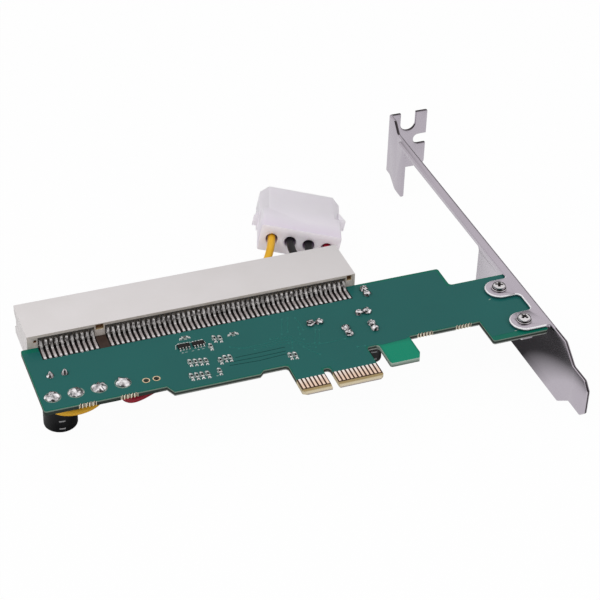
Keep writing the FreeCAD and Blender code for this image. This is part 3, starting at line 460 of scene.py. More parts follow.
def slot_finish():
    wiring, shader, cloudy = opened("slot_plastic")
    x, y, z = wiring.card_axes()
    rear = wiring.ramp(wiring.facing("Normal")[1], -0.35, -0.9)
    rear_shaded = wiring.times(rear, wiring.ramp(wiring.noise(700), 0.25, 0.7, 0.65, 1.0))
    plain = wiring.mix(rear_shaded, cloudy["Color"], REAR_WARM_SHADE)
    rows = wiring.plus(*[wiring.between(x, *row) for row in CONTACT_ROWS])
    pockets = wiring.times(rear, rows, wiring.between(z, *POCKET_HEIGHT), POCKET_SHARE)
    plain = wiring.mix(pockets, plain, POCKET_SHADE)
    inside = wiring.times(wiring.between(y, *RECESS_Y), wiring.between(z, *RECESS_HEIGHT),
                          wiring.between(x, *RECESS_X))
    lip = wiring.times(wiring.ramp(y, 6.1, 5.3), wiring.over(x, LIP_RIGHT_OF))
    wiring.feed(shader["Base Color"], wiring.mix(inside, plain, wiring.mix(lip, *RECESS_SHADE_TO_LIP)))


slot_finish()
# Prints the painted shade of the rear wall
print("slot stain:", [round(value, 3) for value in REAR_WARM_SHADE[:3]])

# %% [markdown]
# ## Edges of the bracket
#
# The bracket is stamped from plated sheet and folded. Its broad faces keep a satin plating, but the cut edges
# of the tab, the step and the end of the plate were sheared, and they are rough and dark. The rims of the
# two ears have a painted pale highlight, and the plating is dull there and where the sheet was bent. Each
# part of the bracket lies in a plane of its own, so place and direction together tell an edge from a face.

# %% Bracket edges
PLATE_FROM = 57.6
PLATE_END = -28.5
STEP_EDGE = (68.9, 72.2)
TAB_X = 58.9
TAB_Y = 74.9
EARS_X = (0.0, 57.0)
EARS_END_Y = -4.6
ROUND_TOO = 0.85  # A face whose normal leans this much still counts as a cut edge
CUT_EDGE = rgb(0.060, 0.052, 0.056)
# Painted highlight on the rims of the ears
RIM_HIGHLIGHT = rgb(0.90, 0.89, 0.91)
BEND_DULLED = 0.8


def bracket_finish():
    wiring, shader, cloudy = opened("bracket_steel")
    x, y, z = wiring.card_axes()
    face_x, face_y, face_z = wiring.facing()
    flat_x = wiring.maths("ABSOLUTE", face_x)
    flat_y = wiring.maths("ABSOLUTE", face_y)
    on_plate = wiring.over(x, PLATE_FROM)
    end_edge = wiring.times(wiring.under(flat_x, 0.3), wiring.under(y, PLATE_END))
    step_edge = wiring.times(wiring.under(flat_x, ROUND_TOO), wiring.between(y, *STEP_EDGE))
    tab_edge = wiring.times(wiring.under(flat_y, ROUND_TOO), wiring.over(y, TAB_Y), wiring.over(x, TAB_X),
                            wiring.over(face_z, 0.3))
    edge = wiring.plus(wiring.times(wiring.plus(end_edge, step_edge), on_plate), tab_edge)
    rim = wiring.times(wiring.between(face_z, 0.2, 0.97), wiring.between(x, *EARS_X),
                       wiring.under(y, EARS_END_Y))
    bend = wiring.times(wiring.between(face_z, 0.12, 0.985), wiring.over(face_x, 0.12), on_plate)
    dulled = wiring.times(wiring.most(bend, rim), BEND_DULLED)
    wiring.feed(shader["Metallic"], wiring.minus(1.0, dulled))
    # The plating colour with the painted rim highlight
    plated = wiring.mix(rim, cloudy["Color"], RIM_HIGHLIGHT)
    wiring.feed(shader["Base Color"], wiring.mix(edge, plated, CUT_EDGE))


bracket_finish()
print("cut edges:", [round(value, 3) for value in CUT_EDGE[:3]])

# %% [markdown]
# ## Gold fingers
#
# The edge contacts are gold over nickel, pinkish gold, with a painted highlight that makes them almost
# white at their upper ends, where they meet the lacquer. A ramp along y makes that change. The foil's etched
# sides have painted brown shade: the contacts stand one millimetre apart, so the fraction of x tells how far
# a point is from its contact's middle.

# %% Gold finish
# Painted highlight at the contacts' upper ends
FINGER_TOP_HIGHLIGHT = rgb(0.95, 0.88, 0.83)
FINGER_HIGHLIGHT_FROM = (-28.6, -26.4)
# Painted brown shade on the contacts' sides
FINGER_SIDE_SHADE = rgb(0.16, 0.085, 0.055)
FINGER_SHADE_FROM = (0.26, 0.30)


def gold_finish():
    wiring, shader, cloudy = opened("gold_plate")
    x, y, z = wiring.card_axes()
    off_centre = wiring.maths("ABSOLUTE", wiring.minus(wiring.maths("FRACT", x), 0.5))
    bright = wiring.mix(wiring.ramp(y, *FINGER_HIGHLIGHT_FROM), cloudy["Color"], FINGER_TOP_HIGHLIGHT)
    sides = wiring.ramp(off_centre, *FINGER_SHADE_FROM)
    wiring.feed(shader["Base Color"], wiring.mix(sides, bright, FINGER_SIDE_SHADE))


gold_finish()
print("gold finished")

# %% [markdown]
# ## Pieces from meshes
#
# A CAD solid arrives as loose triangles with knife-sharp edges. Real mouldings and stampings have small
# rounds that catch the light. So most solids are copied, merged, and given a narrow bevel. The copy stands
# in for the solid, and keeps its size.

# %% Helpers for pieces
SMOOTH_ANGLE = math.radians(35)
FLAT_ANGLE = math.radians(0.3)
SAME_POINT = 0.0005 * MM


def add_piece(name, mesh, finish_name, replaced=()):
    """Put a finished mesh in the scene, on the card's one body."""
    piece = shown(name, mesh)
    mesh.materials.clear()
    mesh.materials.append(FINISHES[finish_name])
    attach(piece, "root")
    if replaced:
        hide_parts(*replaced)
    return piece


def smooth(mesh, angle=SMOOTH_ANGLE):
    """Smooth faces, and sharp edges where the surface turns by more than the angle."""
    for face in mesh.polygons:
        face.use_smooth = True
    mesh.set_sharp_from_angle(angle=angle)


def drop(maker):
    """Take a working object away, with its mesh."""
    data = maker.data
    bpy.data.objects.remove(maker)
    if isinstance(data, bpy.types.Mesh):
        bpy.data.meshes.remove(data)


def plain_mesh(maker):
    """What a working object looks like with its modifiers, as a mesh of its own. The object goes."""
    graph = bpy.context.evaluated_depsgraph_get()
    graph.update()
    mesh = bpy.data.meshes.new_from_object(maker.evaluated_get(graph))
    maker.modifiers.clear()
    drop(maker)
    return mesh


def node_mesh(node):
    """A CAD node's mesh to work on, with its triangles joined."""
    work = bmesh.new()
    work.from_mesh(nodes[node].data)
    bmesh.ops.remove_doubles(work, verts=work.verts, dist=SAME_POINT)
    return work


def softened(node, edge, finish_name, segments=2, clamp=True):
    """A copy of a CAD node with rounded edges, standing in for it."""
    work = node_mesh(node)
    bmesh.ops.dissolve_limit(work, angle_limit=FLAT_ANGLE, verts=work.verts, edges=work.edges)
    mesh = bpy.data.meshes.new(node + "_merged")
    work.to_mesh(mesh)
    work.free()
    if edge:
        for face in mesh.polygons:
            face.use_smooth = True
        maker = shown("maker", mesh)
        bevel = maker.modifiers.new("bevel", "BEVEL")
        bevel.width = edge * MM
        bevel.segments = segments
        bevel.limit_method = "ANGLE"
        bevel.angle_limit = SMOOTH_ANGLE
        bevel.use_clamp_overlap = clamp
        bevel.harden_normals = True
        mesh = plain_mesh(maker)
    else:
        smooth(mesh)
    return add_piece(node + "_dressed", mesh, finish_name, [node])


def islands(node):
    """Lowest and highest corner of each separate solid of a node, in card millimetres."""
    work = node_mesh(node)
    seen = set()
    boxes = []
    for first in work.verts:
        if first.index in seen:
            continue
        seen.add(first.index)
        group, queue = [], [first]
        while queue:
            vertex = queue.pop()
            group.append(from_frame(vertex.co))
            for edge in vertex.link_edges:
                other = edge.other_vert(vertex)
                if other.index not in seen:
                    seen.add(other.index)
                    queue.append(other)
        boxes.append([Vector([pick(p[i] for p in group) for i in range(3)]) for pick in (min, max)])
    work.free()
    return sorted(boxes, key=lambda box: (round(box[0].x, 2), round(box[0].y, 2)))


def middle(box):
    return (box[0] + box[1]) / 2


def centres(node):
    return [middle(box) for box in islands(node)]


print("helpers for pieces ready")

# %% [markdown]
# ## Power wires
#
# Four wires leave their solder joints below the board, bend away towards the slot and rise into the plug. A
# wire is one smooth line of fixed length, so each is a NURBS curve whose control points are the stations of
# its route, with a round section. Soft insulation hangs in easy curves, with its tightest bends at the
# joints.

# %% Power wires
WIRE_RADIUS = 1.05
WIRE_JOINT_Y = -14.5
WIRE_STARTS_Z = (-1.4, -3.4)
# For each wire: x of its joint, its length, and the stations of its route
WIRES = {
    "yellow": (-63.5, 102.1, [
        (-61.2, -14.1, -5.2), (-57.6, -13.6, -6.3), (-53.2, -11.4, -7.3), (-48.6, -5.0, -9.4),
        (-40.5, 4.0, -11.6), (-26.5, 14.0, -13.6), (-11.0, 22.5, -13.8), (0.6, 29.0, -11.8),
        (7.91, 35.53, -7.71), (11.08, 44.42, -8.13)]),
    "black_left": (-58.0, 102.0, [
        (-57.0, -13.2, -4.4), (-54.4, -11.8, -4.6), (-49.2, -9.0, -5.6), (-40.0, -3.8, -7.6),
        (-26.0, 5.5, -11.4), (-10.5, 14.2, -14.2), (4.9, 21.6, -14.2), (12.6, 28.0, -12.0),
        (15.0, 33.2, -10.3), (14.04, 37.86, -8.86), (15.77, 42.71, -9.08)]),
    "black_right": (-52.5, 99.7, [
        (-51.5, -13.2, -4.4), (-48.9, -11.9, -4.6), (-43.6, -9.8, -5.6), (-34.4, -5.0, -7.6),
        (-20.6, 3.3, -11.4), (-5.6, 11.2, -14.3), (9.2, 18.8, -14.5), (16.4, 26.4, -13.0),
        (18.06, 34.26, -9.72), (20.45, 40.99, -10.04)]),
    "red": (-46.8, 98.4, [
        (-45.7, -14.4, -5.2), (-43.0, -13.7, -5.9), (-38.2, -10.8, -6.5), (-29.4, -5.9, -8.2),
        (-15.4, 1.4, -12.0), (-0.6, 8.8, -14.6), (13.8, 16.2, -14.9), (21.2, 24.6, -13.8),
        (22.74, 32.55, -10.67), (25.14, 39.28, -10.99)]),
}

plug = softened("power_plug_housing", 0.55, "plug_plastic", 3)
pins = softened("power_plug_pins", 0.1, "pin_brass")
for name, (joint_x, length, route) in WIRES.items():
    stations = [(joint_x, WIRE_JOINT_Y, z) for z in WIRE_STARTS_Z] + route
    curve = bpy.data.curves.new("wire_" + name, "CURVE")
    curve.dimensions = "3D"
    spline = curve.splines.new("NURBS")
    spline.points.add(len(stations) - 1)
    for point, station in zip(spline.points, stations):
        point.co = (*on_card(*station), 1.0)
    spline.order_u = 3
    spline.use_endpoint_u = True
    spline.resolution_u = 10
    curve.bevel_depth = WIRE_RADIUS * MM
    curve.bevel_resolution = 6
    curve.use_fill_caps = True
    color = name.split("_")[0]
    curve.materials.append(FINISHES["wire_" + color])
    wire = shown("wire_" + name, curve)
    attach(wire, "root")
    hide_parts("power_wire_" + name)
    on_card(*stations[0])
    print("wire", name, length, "mm")

# %% [markdown]
# ## Rounded copies of the plain solids
#
# Most pieces need no more than their own solid with its edges eased: the slot's moulding, the folded bracket,
# the chips and their tinned ends. One table gives the width of the rounding and the finish of each. The board
# and its gold contacts keep their own meshes.

# %% Rounded copies
ROUNDED = {
    "card_slot_housing": (0.16, "slot_plastic"),
    "mounting_bracket": (0.26, "bracket_steel"),
    "bracket_nuts": (0.18, "screw_plate"),
    "bulk_capacitor_seal": (0.15, "seal_rubber"),
    "small_capacitor_seals": (0.12, "seal_rubber"),
    "capacitor_leads": (0.08, "solder"),
    "bridge_chip": (0.06, "chip_plastic"),
    "bridge_chip_leads": (0.03, "tinned_contact"),
    "crystal_base": (0.12, "chip_plastic"),
    "crystal_can": (0.30, "crystal_metal"),
    "voltage_regulator": (0.08, "chip_plastic"),
    "voltage_regulator_leads": (0.05, "tinned_contact"),
    "resistor_arrays": (0.05, "resistor_coat"),
    "resistor_array_terminals": (0.05, "chip_solder"),
    "chip_resistors": (0.03, "alumina"),
    "chip_resistor_ends": (0.06, "chip_solder"),
    "chip_capacitors": (0.03, "ceramic"),
    "chip_capacitor_ends": (0.06, "chip_solder"),
    "wire_conductors": (0.0, "copper"),
}
AS_THEY_ARE = {
    "circuit_board": ("solder_mask", "board_laminate"),
    "edge_contacts_solder_side": ("gold_plate", "gold_plate"),
    "edge_contacts_component_side": ("gold_plate", "gold_plate"),
}
SLOT_OF_FINISH = {"chip_solder": "solder", "alumina": "resistor_coat"}
FULL_WIDTH = ("mounting_bracket",)  # Nodes with room for the whole rounding at every edge
for node, (edge, finish_name) in ROUNDED.items():
    slot = SLOT_OF_FINISH.get(finish_name, finish_name)
    softened(node, edge, finish_name, clamp=node not in FULL_WIDTH)
for node, (finish_name, slot) in AS_THEY_ARE.items():
    nodes[node].data.materials.clear()
    nodes[node].data.materials.append(FINISHES[finish_name])
print("rounded copies:", len(ROUNDED))

# %% [markdown]
# ## Two Geometry Nodes trees
#
# The card is full of repeats. Two trees make nearly all of them. The first sets out copies of one shape on
# points, and each point carries its own turn and size. The second draws a ribbon along lines, with rounded
# bends: it makes bent contacts, copper tracks and printed outlines.

# %% Geometry Nodes trees


def end_tree(wiring, shape, finish_socket):
    """Every tree ends in real faces with their finish."""
    real = wiring.place("GeometryNodeRealizeInstances", {0: shape}).outputs[0]
    painted = wiring.place("GeometryNodeSetMaterial", {"Geometry": real, "Material": finish_socket})
    wiring.place("NodeGroupOutput", {"Result": painted.outputs[0]})
    return wiring.tree


def copies_tree():
    wiring = Wiring(new_group("set_out_copies", "GeometryNodeTree", {
        "Points": "Geometry", "Shape": "Object", "Finish": "Material", "Smallest": "Float",
        "Largest": "Float", "Swing": "Float", "Seed": "Int"}, {"Result": "Geometry"}))
    given = wiring.place("NodeGroupInput").outputs
    own = []
    for label in ("turn", "size"):
        node = wiring.place("GeometryNodeInputNamedAttribute", {"Name": label}, data_type="FLOAT_VECTOR")
        own.append(node.outputs[0])
    drawn = []
    for low, high in ((wiring.times(given["Swing"], -1.0), given["Swing"]),
                      (given["Smallest"], given["Largest"])):
        limits = {2: low, 3: high, "Seed": given["Seed"]}
        drawn.append(wiring.place("FunctionNodeRandomValue", limits, data_type="FLOAT").outputs[1])
    about_z = wiring.place("ShaderNodeCombineXYZ", {2: drawn[0]}).outputs[0]
    turn = wiring.place("ShaderNodeVectorMath", {0: own[0], 1: about_z}, operation="ADD").outputs[0]
    size = wiring.place("ShaderNodeVectorMath", {0: own[1], "Scale": drawn[1]}, operation="SCALE").outputs[0]
    shape = wiring.place("GeometryNodeObjectInfo", {"Object": given["Shape"]}).outputs["Geometry"]
    copies = wiring.place("GeometryNodeInstanceOnPoints", {
        "Points": given["Points"], "Instance": shape, "Rotation": turn, "Scale": size})
    return end_tree(wiring, copies.outputs[0], given["Finish"])


def ribbon_tree():
    wiring = Wiring(new_group("ribbon_along_lines", "GeometryNodeTree", {
        "Lines": "Geometry", "Width": "Float", "Thickness": "Float", "Bend radius": "Float",
        "Edge radius": "Float", "Finish": "Material"}, {"Result": "Geometry"}))
    given = wiring.place("NodeGroupInput").outputs
    line = wiring.place("GeometryNodeMeshToCurve", {"Mesh": given["Lines"]}).outputs[0]
    section = wiring.place("GeometryNodeCurvePrimitiveQuadrilateral", {
        "Width": given["Width"], "Height": given["Thickness"]}).outputs[0]
    rounded = []
    for curve, radius, steps in ((line, given["Bend radius"], 3), (section, given["Edge radius"], 1)):
        node = wiring.place("GeometryNodeFilletCurve", {
            "Curve": curve, "Radius": radius, "Count": steps, "Limit Radius": True}, mode="POLY")
        rounded.append(node.outputs[0])
    level = wiring.place("GeometryNodeSetCurveNormal", {"Curve": rounded[0]}, mode="Z_UP").outputs[0]
    swept = wiring.place("GeometryNodeCurveToMesh", {
        "Curve": level, "Profile Curve": rounded[1], "Fill Caps": True})
    return end_tree(wiring, swept.outputs[0], given["Finish"])


COPIES = copies_tree()
RIBBON = ribbon_tree()


def run_tree(tree, points, values):
    """Run a tree once on a mesh and return the plain mesh that it makes."""
    maker = shown("maker", points)
    modifier = maker.modifiers.new("tree", "NODES")
    modifier.node_group = tree
    for socket in tree.interface.items_tree:
        if socket.in_out == "INPUT" and socket.name in values:
            modifier[socket.identifier] = values[socket.name]
    return plain_mesh(maker)


def set_out(name, shape, places, finish_name, replaced=(), turns=None, sizes=None, spread=(1.0, 1.0),
            swing=0.0, seed=1):
    """Copies of one shape at many places on the card."""
    points = bpy.data.meshes.new(name + "_points")
    points.from_pydata([on_card(*place) for place in places], [], [])
    for label, values, plain in (("turn", turns, (0.0, 0.0, 0.0)), ("size", sizes, (1.0, 1.0, 1.0))):
        attribute = points.attributes.new(label, "FLOAT_VECTOR", "POINT")
        for i in range(len(places)):
            attribute.data[i].vector = values[i] if values else plain
    template = shown("template", shape)
    made = run_tree(COPIES, points, {
        "Shape": template, "Finish": FINISHES[finish_name], "Smallest": spread[0], "Largest": spread[1],
        "Swing": swing, "Seed": seed})
    drop(template)
    smooth(made)
    print(name, len(places), "copies,", len(made.polygons), "faces")
    return add_piece(name, made, finish_name, replaced)


def ribbon(lines, width, thickness, bend, finish_name, edge=0.0):
    """A ribbon mesh along polylines given in metres; sizes in millimetres."""
    corners, joints = [], []
    for line in lines:
        first = len(corners)
        corners += line
        joints += [(first + i, first + i + 1) for i in range(len(line) - 1)]
    path = bpy.data.meshes.new("path")
    path.from_pydata(corners, joints, [])
    return run_tree(RIBBON, path, {
        "Width": width * MM, "Thickness": thickness * MM, "Bend radius": bend * MM, "Edge radius": edge * MM,
        "Finish": FINISHES[finish_name]})


print("trees:", COPIES.name, RIBBON.name)

# %% [markdown]
# ## Turned and moulded shapes
#
# Solder domes, screw heads and capacitor cans are round, so they are turned: a list of radii and heights,
# carried round the axis. Other shapes are skinned over a few rings of points. Solder that has run over a flat
# pad is a low mound instead.

# %% Turned and moulded shapes
FLIPPED = math.pi  # Turn about x that takes a shape from the solder side to the component side
ALONG_Y = math.pi / 2


def mesh_from(work):
    """A mesh with its points joined and its faces outward."""
    bmesh.ops.remove_doubles(work, verts=work.verts, dist=0.0002 * MM)
    bmesh.ops.recalc_face_normals(work, faces=work.faces)
    mesh = bpy.data.meshes.new("shape")
    work.to_mesh(mesh)
    work.free()
    return mesh


def joined(parts):
    """One mesh from (mesh, place) pairs."""
    work = bmesh.new()
    for mesh, place in parts:
        mesh.transform(Matrix.Translation(on_card(place.x, place.y, 0)))
        work.from_mesh(mesh)
        bpy.data.meshes.remove(mesh)
    return mesh_from(work)


def skinned(rings, capped=False):
    """A skin over rings of points in millimetres, each joined to the next."""
    work = bmesh.new()
    loops = [[work.verts.new(Vector(point) * MM) for point in ring] for ring in rings]
    around = max(len(loop) for loop in loops)
    for low, high in zip(loops, loops[1:]):
        for k in range(around):
            corners = []
            for loop, step in ((low, k), (low, k + 1), (high, k + 1), (high, k)):
                vertex = loop[step % len(loop)]
                if vertex not in corners:
                    corners.append(vertex)
            if len(corners) > 2:
                work.faces.new(corners)
    if capped:
        work.faces.new(loops[0])
        work.faces.new(loops[-1])
    return mesh_from(work)


def polar(radius, angle, height):
    return Vector((radius * math.cos(angle), radius * math.sin(angle), height))


def lathe(profile, around=40, moved=None):
    """A turned shape from (radius, height) corners in millimetres. moved(point) may shift each corner."""
    rings = []
    for radius, height in profile:
        count = around if radius > 0 else 1
        ring = [polar(radius, 2 * math.pi * k / around, height) for k in range(count)]
        rings.append([moved(point) for point in ring] if moved else ring)
    return skinned(rings)


def tube(inner, outer, high, low=0.0):
    """The outline of a flat ring, to be turned."""
    return ((inner, low), (outer, low), (outer, high), (inner, high), (inner, low))


def curved_block(inner, outer, start, end, low, high, steps):
    """A closed block between two radii, two angles and two heights, in millimetres."""
    rings = []
    for k in range(steps + 1):
        angle = start + (end - start) * k / steps
        corners = ((inner, low), (outer, low), (outer, high), (inner, high))
        rings.append([polar(radius, angle, height) for radius, height in corners])
    return skinned(rings, capped=True)


def mound(length, width, height, steps=6, power=4):
    """A low mound with a flat base, in the middle of its place and longest along x."""
    work = bmesh.new()
    rows = []
    for i in range(steps + 1):
        u = 2 * i / steps - 1
        row = []
        for j in range(steps + 1):
            v = 2 * j / steps - 1
            rise = height * (1 - abs(u) ** power) * (1 - abs(v) ** power)
            row.append(work.verts.new((u * length / 2 * MM, v * width / 2 * MM, rise * MM)))
        rows.append(row)
    for i in range(steps):
        for j in range(steps):
            work.faces.new((rows[i][j], rows[i + 1][j], rows[i + 1][j + 1], rows[i][j + 1]))
    left, right = [row[0] for row in rows], [row[-1] for row in reversed(rows)]
    work.faces.new(left + rows[-1][1:-1] + right + rows[0][-2:0:-1])
    return mesh_from(work)


print("shapes ready")

# %% [markdown]
# ## Copper under the lacquer
#
# A sheet of copper covers most of each face, a little short of the board's edge, and leaves the hook tab
# bare. It is thinner than paper, yet it can be seen as a darker green with a fine step round it. Here it is a
# flat curve with holes, filled and given the thickness of the foil. Plated rings stand round the two empty
# holes.

# %% Copper sheets
POUR_INSET = 0.30
HEADER_CLEARANCE = 1.05
RING_HEIGHT = 0.06
WELL_HEIGHT = RING_HEIGHT * 0.6
LEFT, RIGHT = -66.5 + POUR_INSET, 42.5 + POUR_INSET
LOWER = -19.0 + POUR_INSET
STEP_LOWER = -21.5 + POUR_INSET
KEY = 0.95 + POUR_INSET
TONGUE_LEFT, TONGUE_RIGHT = -8.2 + POUR_INSET, 12.2 - POUR_INSET
POUR_OUTLINE = (
    (LEFT, 3.3), (-62.4, 3.3), (-62.4, 4.9), (19.2, 4.9), (20.2, 4.3), (41.1, 4.3), (41.1, -2.9),
    (56.9, -2.9), (56.9, -25.4), (RIGHT, -25.6), (RIGHT, LOWER), (24.6, LOWER), (22.4, -19.7),
    (16.3, -20.1), (15.0, -19.6), (TONGUE_RIGHT, -19.6), (TONGUE_RIGHT, TONGUE_BARE_BELOW),
    (KEY, TONGUE_BARE_BELOW), (KEY, -24.0), (-KEY, -24.0), (-KEY, TONGUE_BARE_BELOW),
    (TONGUE_LEFT, TONGUE_BARE_BELOW), (TONGUE_LEFT, -20.4 + POUR_INSET), (-14.2, -20.4 + POUR_INSET),
    (-15.4, STEP_LOWER), (-36.3, STEP_LOWER), (-37.4, LOWER), (LEFT, LOWER))
header_places = centres("header_hole_rings")


def filled(outlines, thickness, low):
    """A flat sheet from closed outlines; inner outlines are holes."""
    curve = bpy.data.curves.new("sheet", "CURVE")
    curve.dimensions = "2D"
    curve.fill_mode = "BOTH"
    curve.extrude = thickness / 2 * MM
    for outline in outlines:
        spline = curve.splines.new("POLY")
        spline.points.add(len(outline) - 1)
        for point, (x, y) in zip(spline.points, outline):
            flat = on_card(x, y, 0)
            point.co = (flat.x, flat.y, 0, 1)
        spline.use_cyclic_u = True
    mesh = plain_mesh(shown("maker", curve))
    mesh.transform(Matrix.Translation((0, 0, on_card(0, 0, low + thickness / 2).z)))
    return mesh


def circle(place, radius, around=20):
    steps = [polar(radius, 2 * math.pi * k / around, 0) for k in range(around)]
    return [(place.x + step.x, place.y + step.y) for step in steps]


rings = [(place.x, place.y, low) for place in header_places for low in (0.0, UNDERSIDE - RING_HEIGHT)]
set_out("header_rings_dressed", lathe(tube(0.68, 0.92, RING_HEIGHT), 28), rings, "ring_gold",
        ["header_hole_rings"])
wells = [(x, y, max(z, UNDERSIDE - WELL_HEIGHT)) for x, y, z in rings]
set_out("header_ring_wells", lathe(tube(0.5, 0.69, WELL_HEIGHT), 28), wells, "bare_brown")
holes = [circle(place, HEADER_CLEARANCE) for place in header_places]
for side, low in (("solder", 0.0), ("component", UNDERSIDE - COPPER)):
    sheet = filled([POUR_OUTLINE] + holes, COPPER, low)
    add_piece("copper_sheet_" + side + "_side", sheet, "mask_on_copper")

# %% [markdown]
# ## Row of bent contacts
#
# The slot's contacts are springs stamped from thin strip. Each rises out of its pocket, drops to the board
# and runs along it as a soldered foot. The ribbon tree bends one strip along its path with rounded corners;
# the copies tree sets it out, eleven and forty-nine to a side with the key between. Under the row the lacquer
# has a window of bare laminate, brown at the key and painted near-black between the feet as their shade.

# %% Slot contacts
CONTACT_WIDTH = 0.6
CONTACT_THICKNESS = 0.22
CONTACT_BEND = 0.45
CONTACT_PATH = ((16.45, 1.00), (14.15, 0.05), (10.15, 2.12), (4.75, 1.85), (3.45, 0.11), (0.0, 0.11))
FOOT_LENGTH = 3.3
FOOT_SOLDER = (FOOT_LENGTH, 0.80, 0.16)
KEY_GAP = (-48.25, -45.75)
WINDOW_Y = (-0.15, 4.95)
# Painted shade: the window is near-black under the feet, and bare brown laminate at the key
WINDOWS = ((-62.3, KEY_GAP[0], "bare_window"), (KEY_GAP[1], 16.55, "bare_window"), (*KEY_GAP, "bare_brown"))
FILM = COPPER + 0.015

contact_xs = [place.x for place in centres("slot_contacts_solder_side")]
for side, node in (("above", "slot_contacts_solder_side"), ("below", "slot_contacts_component_side")):
    path = [Vector((0, y, z)) * MM for y, z in CONTACT_PATH]
    strip = ribbon([path], CONTACT_WIDTH, CONTACT_THICKNESS, CONTACT_BEND, "slot_contact", 0.05)
    if side == "below":
        for vertex in strip.vertices:
            vertex.co.z = UNDERSIDE * MM - vertex.co.z
        strip.flip_normals()
    set_out("slot_contacts_" + side, strip, [(x, 0, 0) for x in contact_xs], "slot_contact",
            [node])
for side, level, flip, seed in (("above", 0.0, 0.0, 3), ("below", UNDERSIDE, FLIPPED, 4)):
    places = [(x, FOOT_LENGTH / 2 - 0.25, level) for x in contact_xs]
    set_out("foot_solder_" + side, mound(*FOOT_SOLDER), places, "solder",
            turns=[(flip, 0.0, ALONG_Y)] * len(places), spread=(0.93, 1.05), seed=seed)
for number, (x0, x1, finish_name) in enumerate(WINDOWS):
    for side, low in (("above", 0.0), ("below", UNDERSIDE - FILM)):
        y0, y1 = WINDOW_Y
        window = filled([[(x0, y0), (x1, y0), (x1, y1), (x0, y1)]], FILM, low)
        add_piece("contact_window_{}_{}".format(number + 1, side), window, finish_name)

# %% [markdown]
# ## Solder
#
# Hand-made joints are never alike. Each power wire ends in a lumpy dome. On the bulk capacitor's leads the
# solder climbs in a cone, and on the other leads it sits as a round bead with the cut lead on top. All are
# turned, and then pushed about by a smooth noise. Each dome has a place of its own in that noise, and the
# cones and beads vary in size and turn. Flat rims and pads of tinned copper lie round the joints.

# %% Solder joints
LUMP_SEED = 3
noise.seed_set(LUMP_SEED)  # Without a seed, the noise starts from the clock
DOME = ((1.80, 0.0), (1.78, 0.10), (1.70, 0.26), (1.54, 0.46), (1.28, 0.68), (0.95, 0.86), (0.58, 0.98),
        (0.28, 1.04), (0.0, 1.06))
CONE = ((0.95, 0.0), (0.94, 0.08), (0.86, 0.24), (0.72, 0.46), (0.56, 0.70), (0.40, 0.94), (0.26, 1.12),
        (0.12, 1.22), (0.0, 1.24))
BEAD = ((0.95, 0.0), (0.96, 0.16), (0.93, 0.36), (0.82, 0.58), (0.64, 0.76), (0.44, 0.86), (0.32, 0.90),
        (0.32, 1.06), (0.26, 1.10), (0.0, 1.10))
CONE_SIZE = (1.0, 1.0, 1.12)
BULK_LEAD_REACH = 5.0
DOME_SMOOTH_ANGLE = math.radians(60)
PAD_HEIGHT = 0.06
PAD_LEVEL = UNDERSIDE - PAD_HEIGHT
WIRE_PAD = ((0.0, 0.0), (1.9, 0.0), (1.9, PAD_HEIGHT), (0.0, PAD_HEIGHT))


def lumpy(seed, amount, scale):
    """Shifts a point by smooth noise, more towards the top."""
    def moved(point):
        push = noise.noise_vector(point * scale + Vector((seed * 7.3, seed * 3.1, seed * 5.7)))
        return point + Vector((push.x, push.y, push.z * 0.8)) * amount * min(1.0, point.z / 0.3)
    return moved


wire_places = centres("wire_conductors")
heaps = []
for number, place in enumerate(wire_places):
    heaps.append((lathe(DOME, 40, lumpy(number + 1, 0.50, 1.3)), place))
domes = joined(heaps)
smooth(domes, DOME_SMOOTH_ANGLE)
add_piece("wire_solder_domes", domes, "solder_bright", ["wire_solder_joints"])

lead_places = centres("capacitor_leads")
bulk_x = centres("bulk_capacitor_can")[0].x
cones, beads = [], []
for place in lead_places:
    group = cones if abs(place.x - bulk_x) < BULK_LEAD_REACH else beads
    group.append((place.x, place.y, 0))
set_out("capacitor_solder_cones", lathe(CONE, 20, lumpy(9, 0.16, 1.4)), cones, "bead_solder",
        ["capacitor_solder_joints"], sizes=[CONE_SIZE] * len(cones), spread=(0.9, 1.1), swing=2.5, seed=11)
set_out("capacitor_solder_beads", lathe(BEAD, 20, lumpy(9, 0.30, 2.0)), beads, "bead_solder",
        spread=(1.05, 1.2), swing=2.5, seed=12)
for name, shape, places, low, finish_name in (
        ("wire_pad_rims", lathe(tube(1.75, 1.97, 0.05), 36), wire_places, 0.0, "pad_rim"),
        ("wire_pads_below", lathe(WIRE_PAD), wire_places, PAD_LEVEL, "solder"),
        ("lead_pads_below", lathe(tube(0.35, 0.95, PAD_HEIGHT), 20), lead_places, PAD_LEVEL, "solder")):
    set_out(name, shape, [(place.x, place.y, low) for place in places], finish_name)

# %% [markdown]
# ## Solder at the chip parts
#
# A chip part sits on two tinned pads, and its solder runs out beyond each end. The tinned ends of the CAD
# parts say where: a mound goes outside each end, turned to the part's own direction. A chip resistor's body
# is pale ceramic, and only a window on its top is coated black.

# %% Chip solder
PAD_REACH = 0.38
ARRAY_FOOT_REACH = 0.30
WINDOW_SHARE = 0.68
EAR_SPLASHES = ((48.9, -11.4, 0.0), (49.3, -25.3, 0.0))


def nearest(places, point):
    return min(places, key=lambda place: (place - point).length)


def chip_solder(name, bodies, ends, level, flip):
    """A mound of solder outside each tinned end."""
    body_places = centres(bodies)
    places, turns = [], []
    for end in centres(ends):
        away = end - nearest(body_places, end)
        away.z = 0
        away.normalize()
        places.append((end.x + away.x * PAD_REACH, end.y + away.y * PAD_REACH, level))
        turns.append((flip, 0.0, math.atan2(away.y, away.x)))
    set_out(name, mound(0.90, 0.90, 0.30, 5), places, "chip_solder", turns=turns,
            spread=(0.9, 1.06), seed=5)


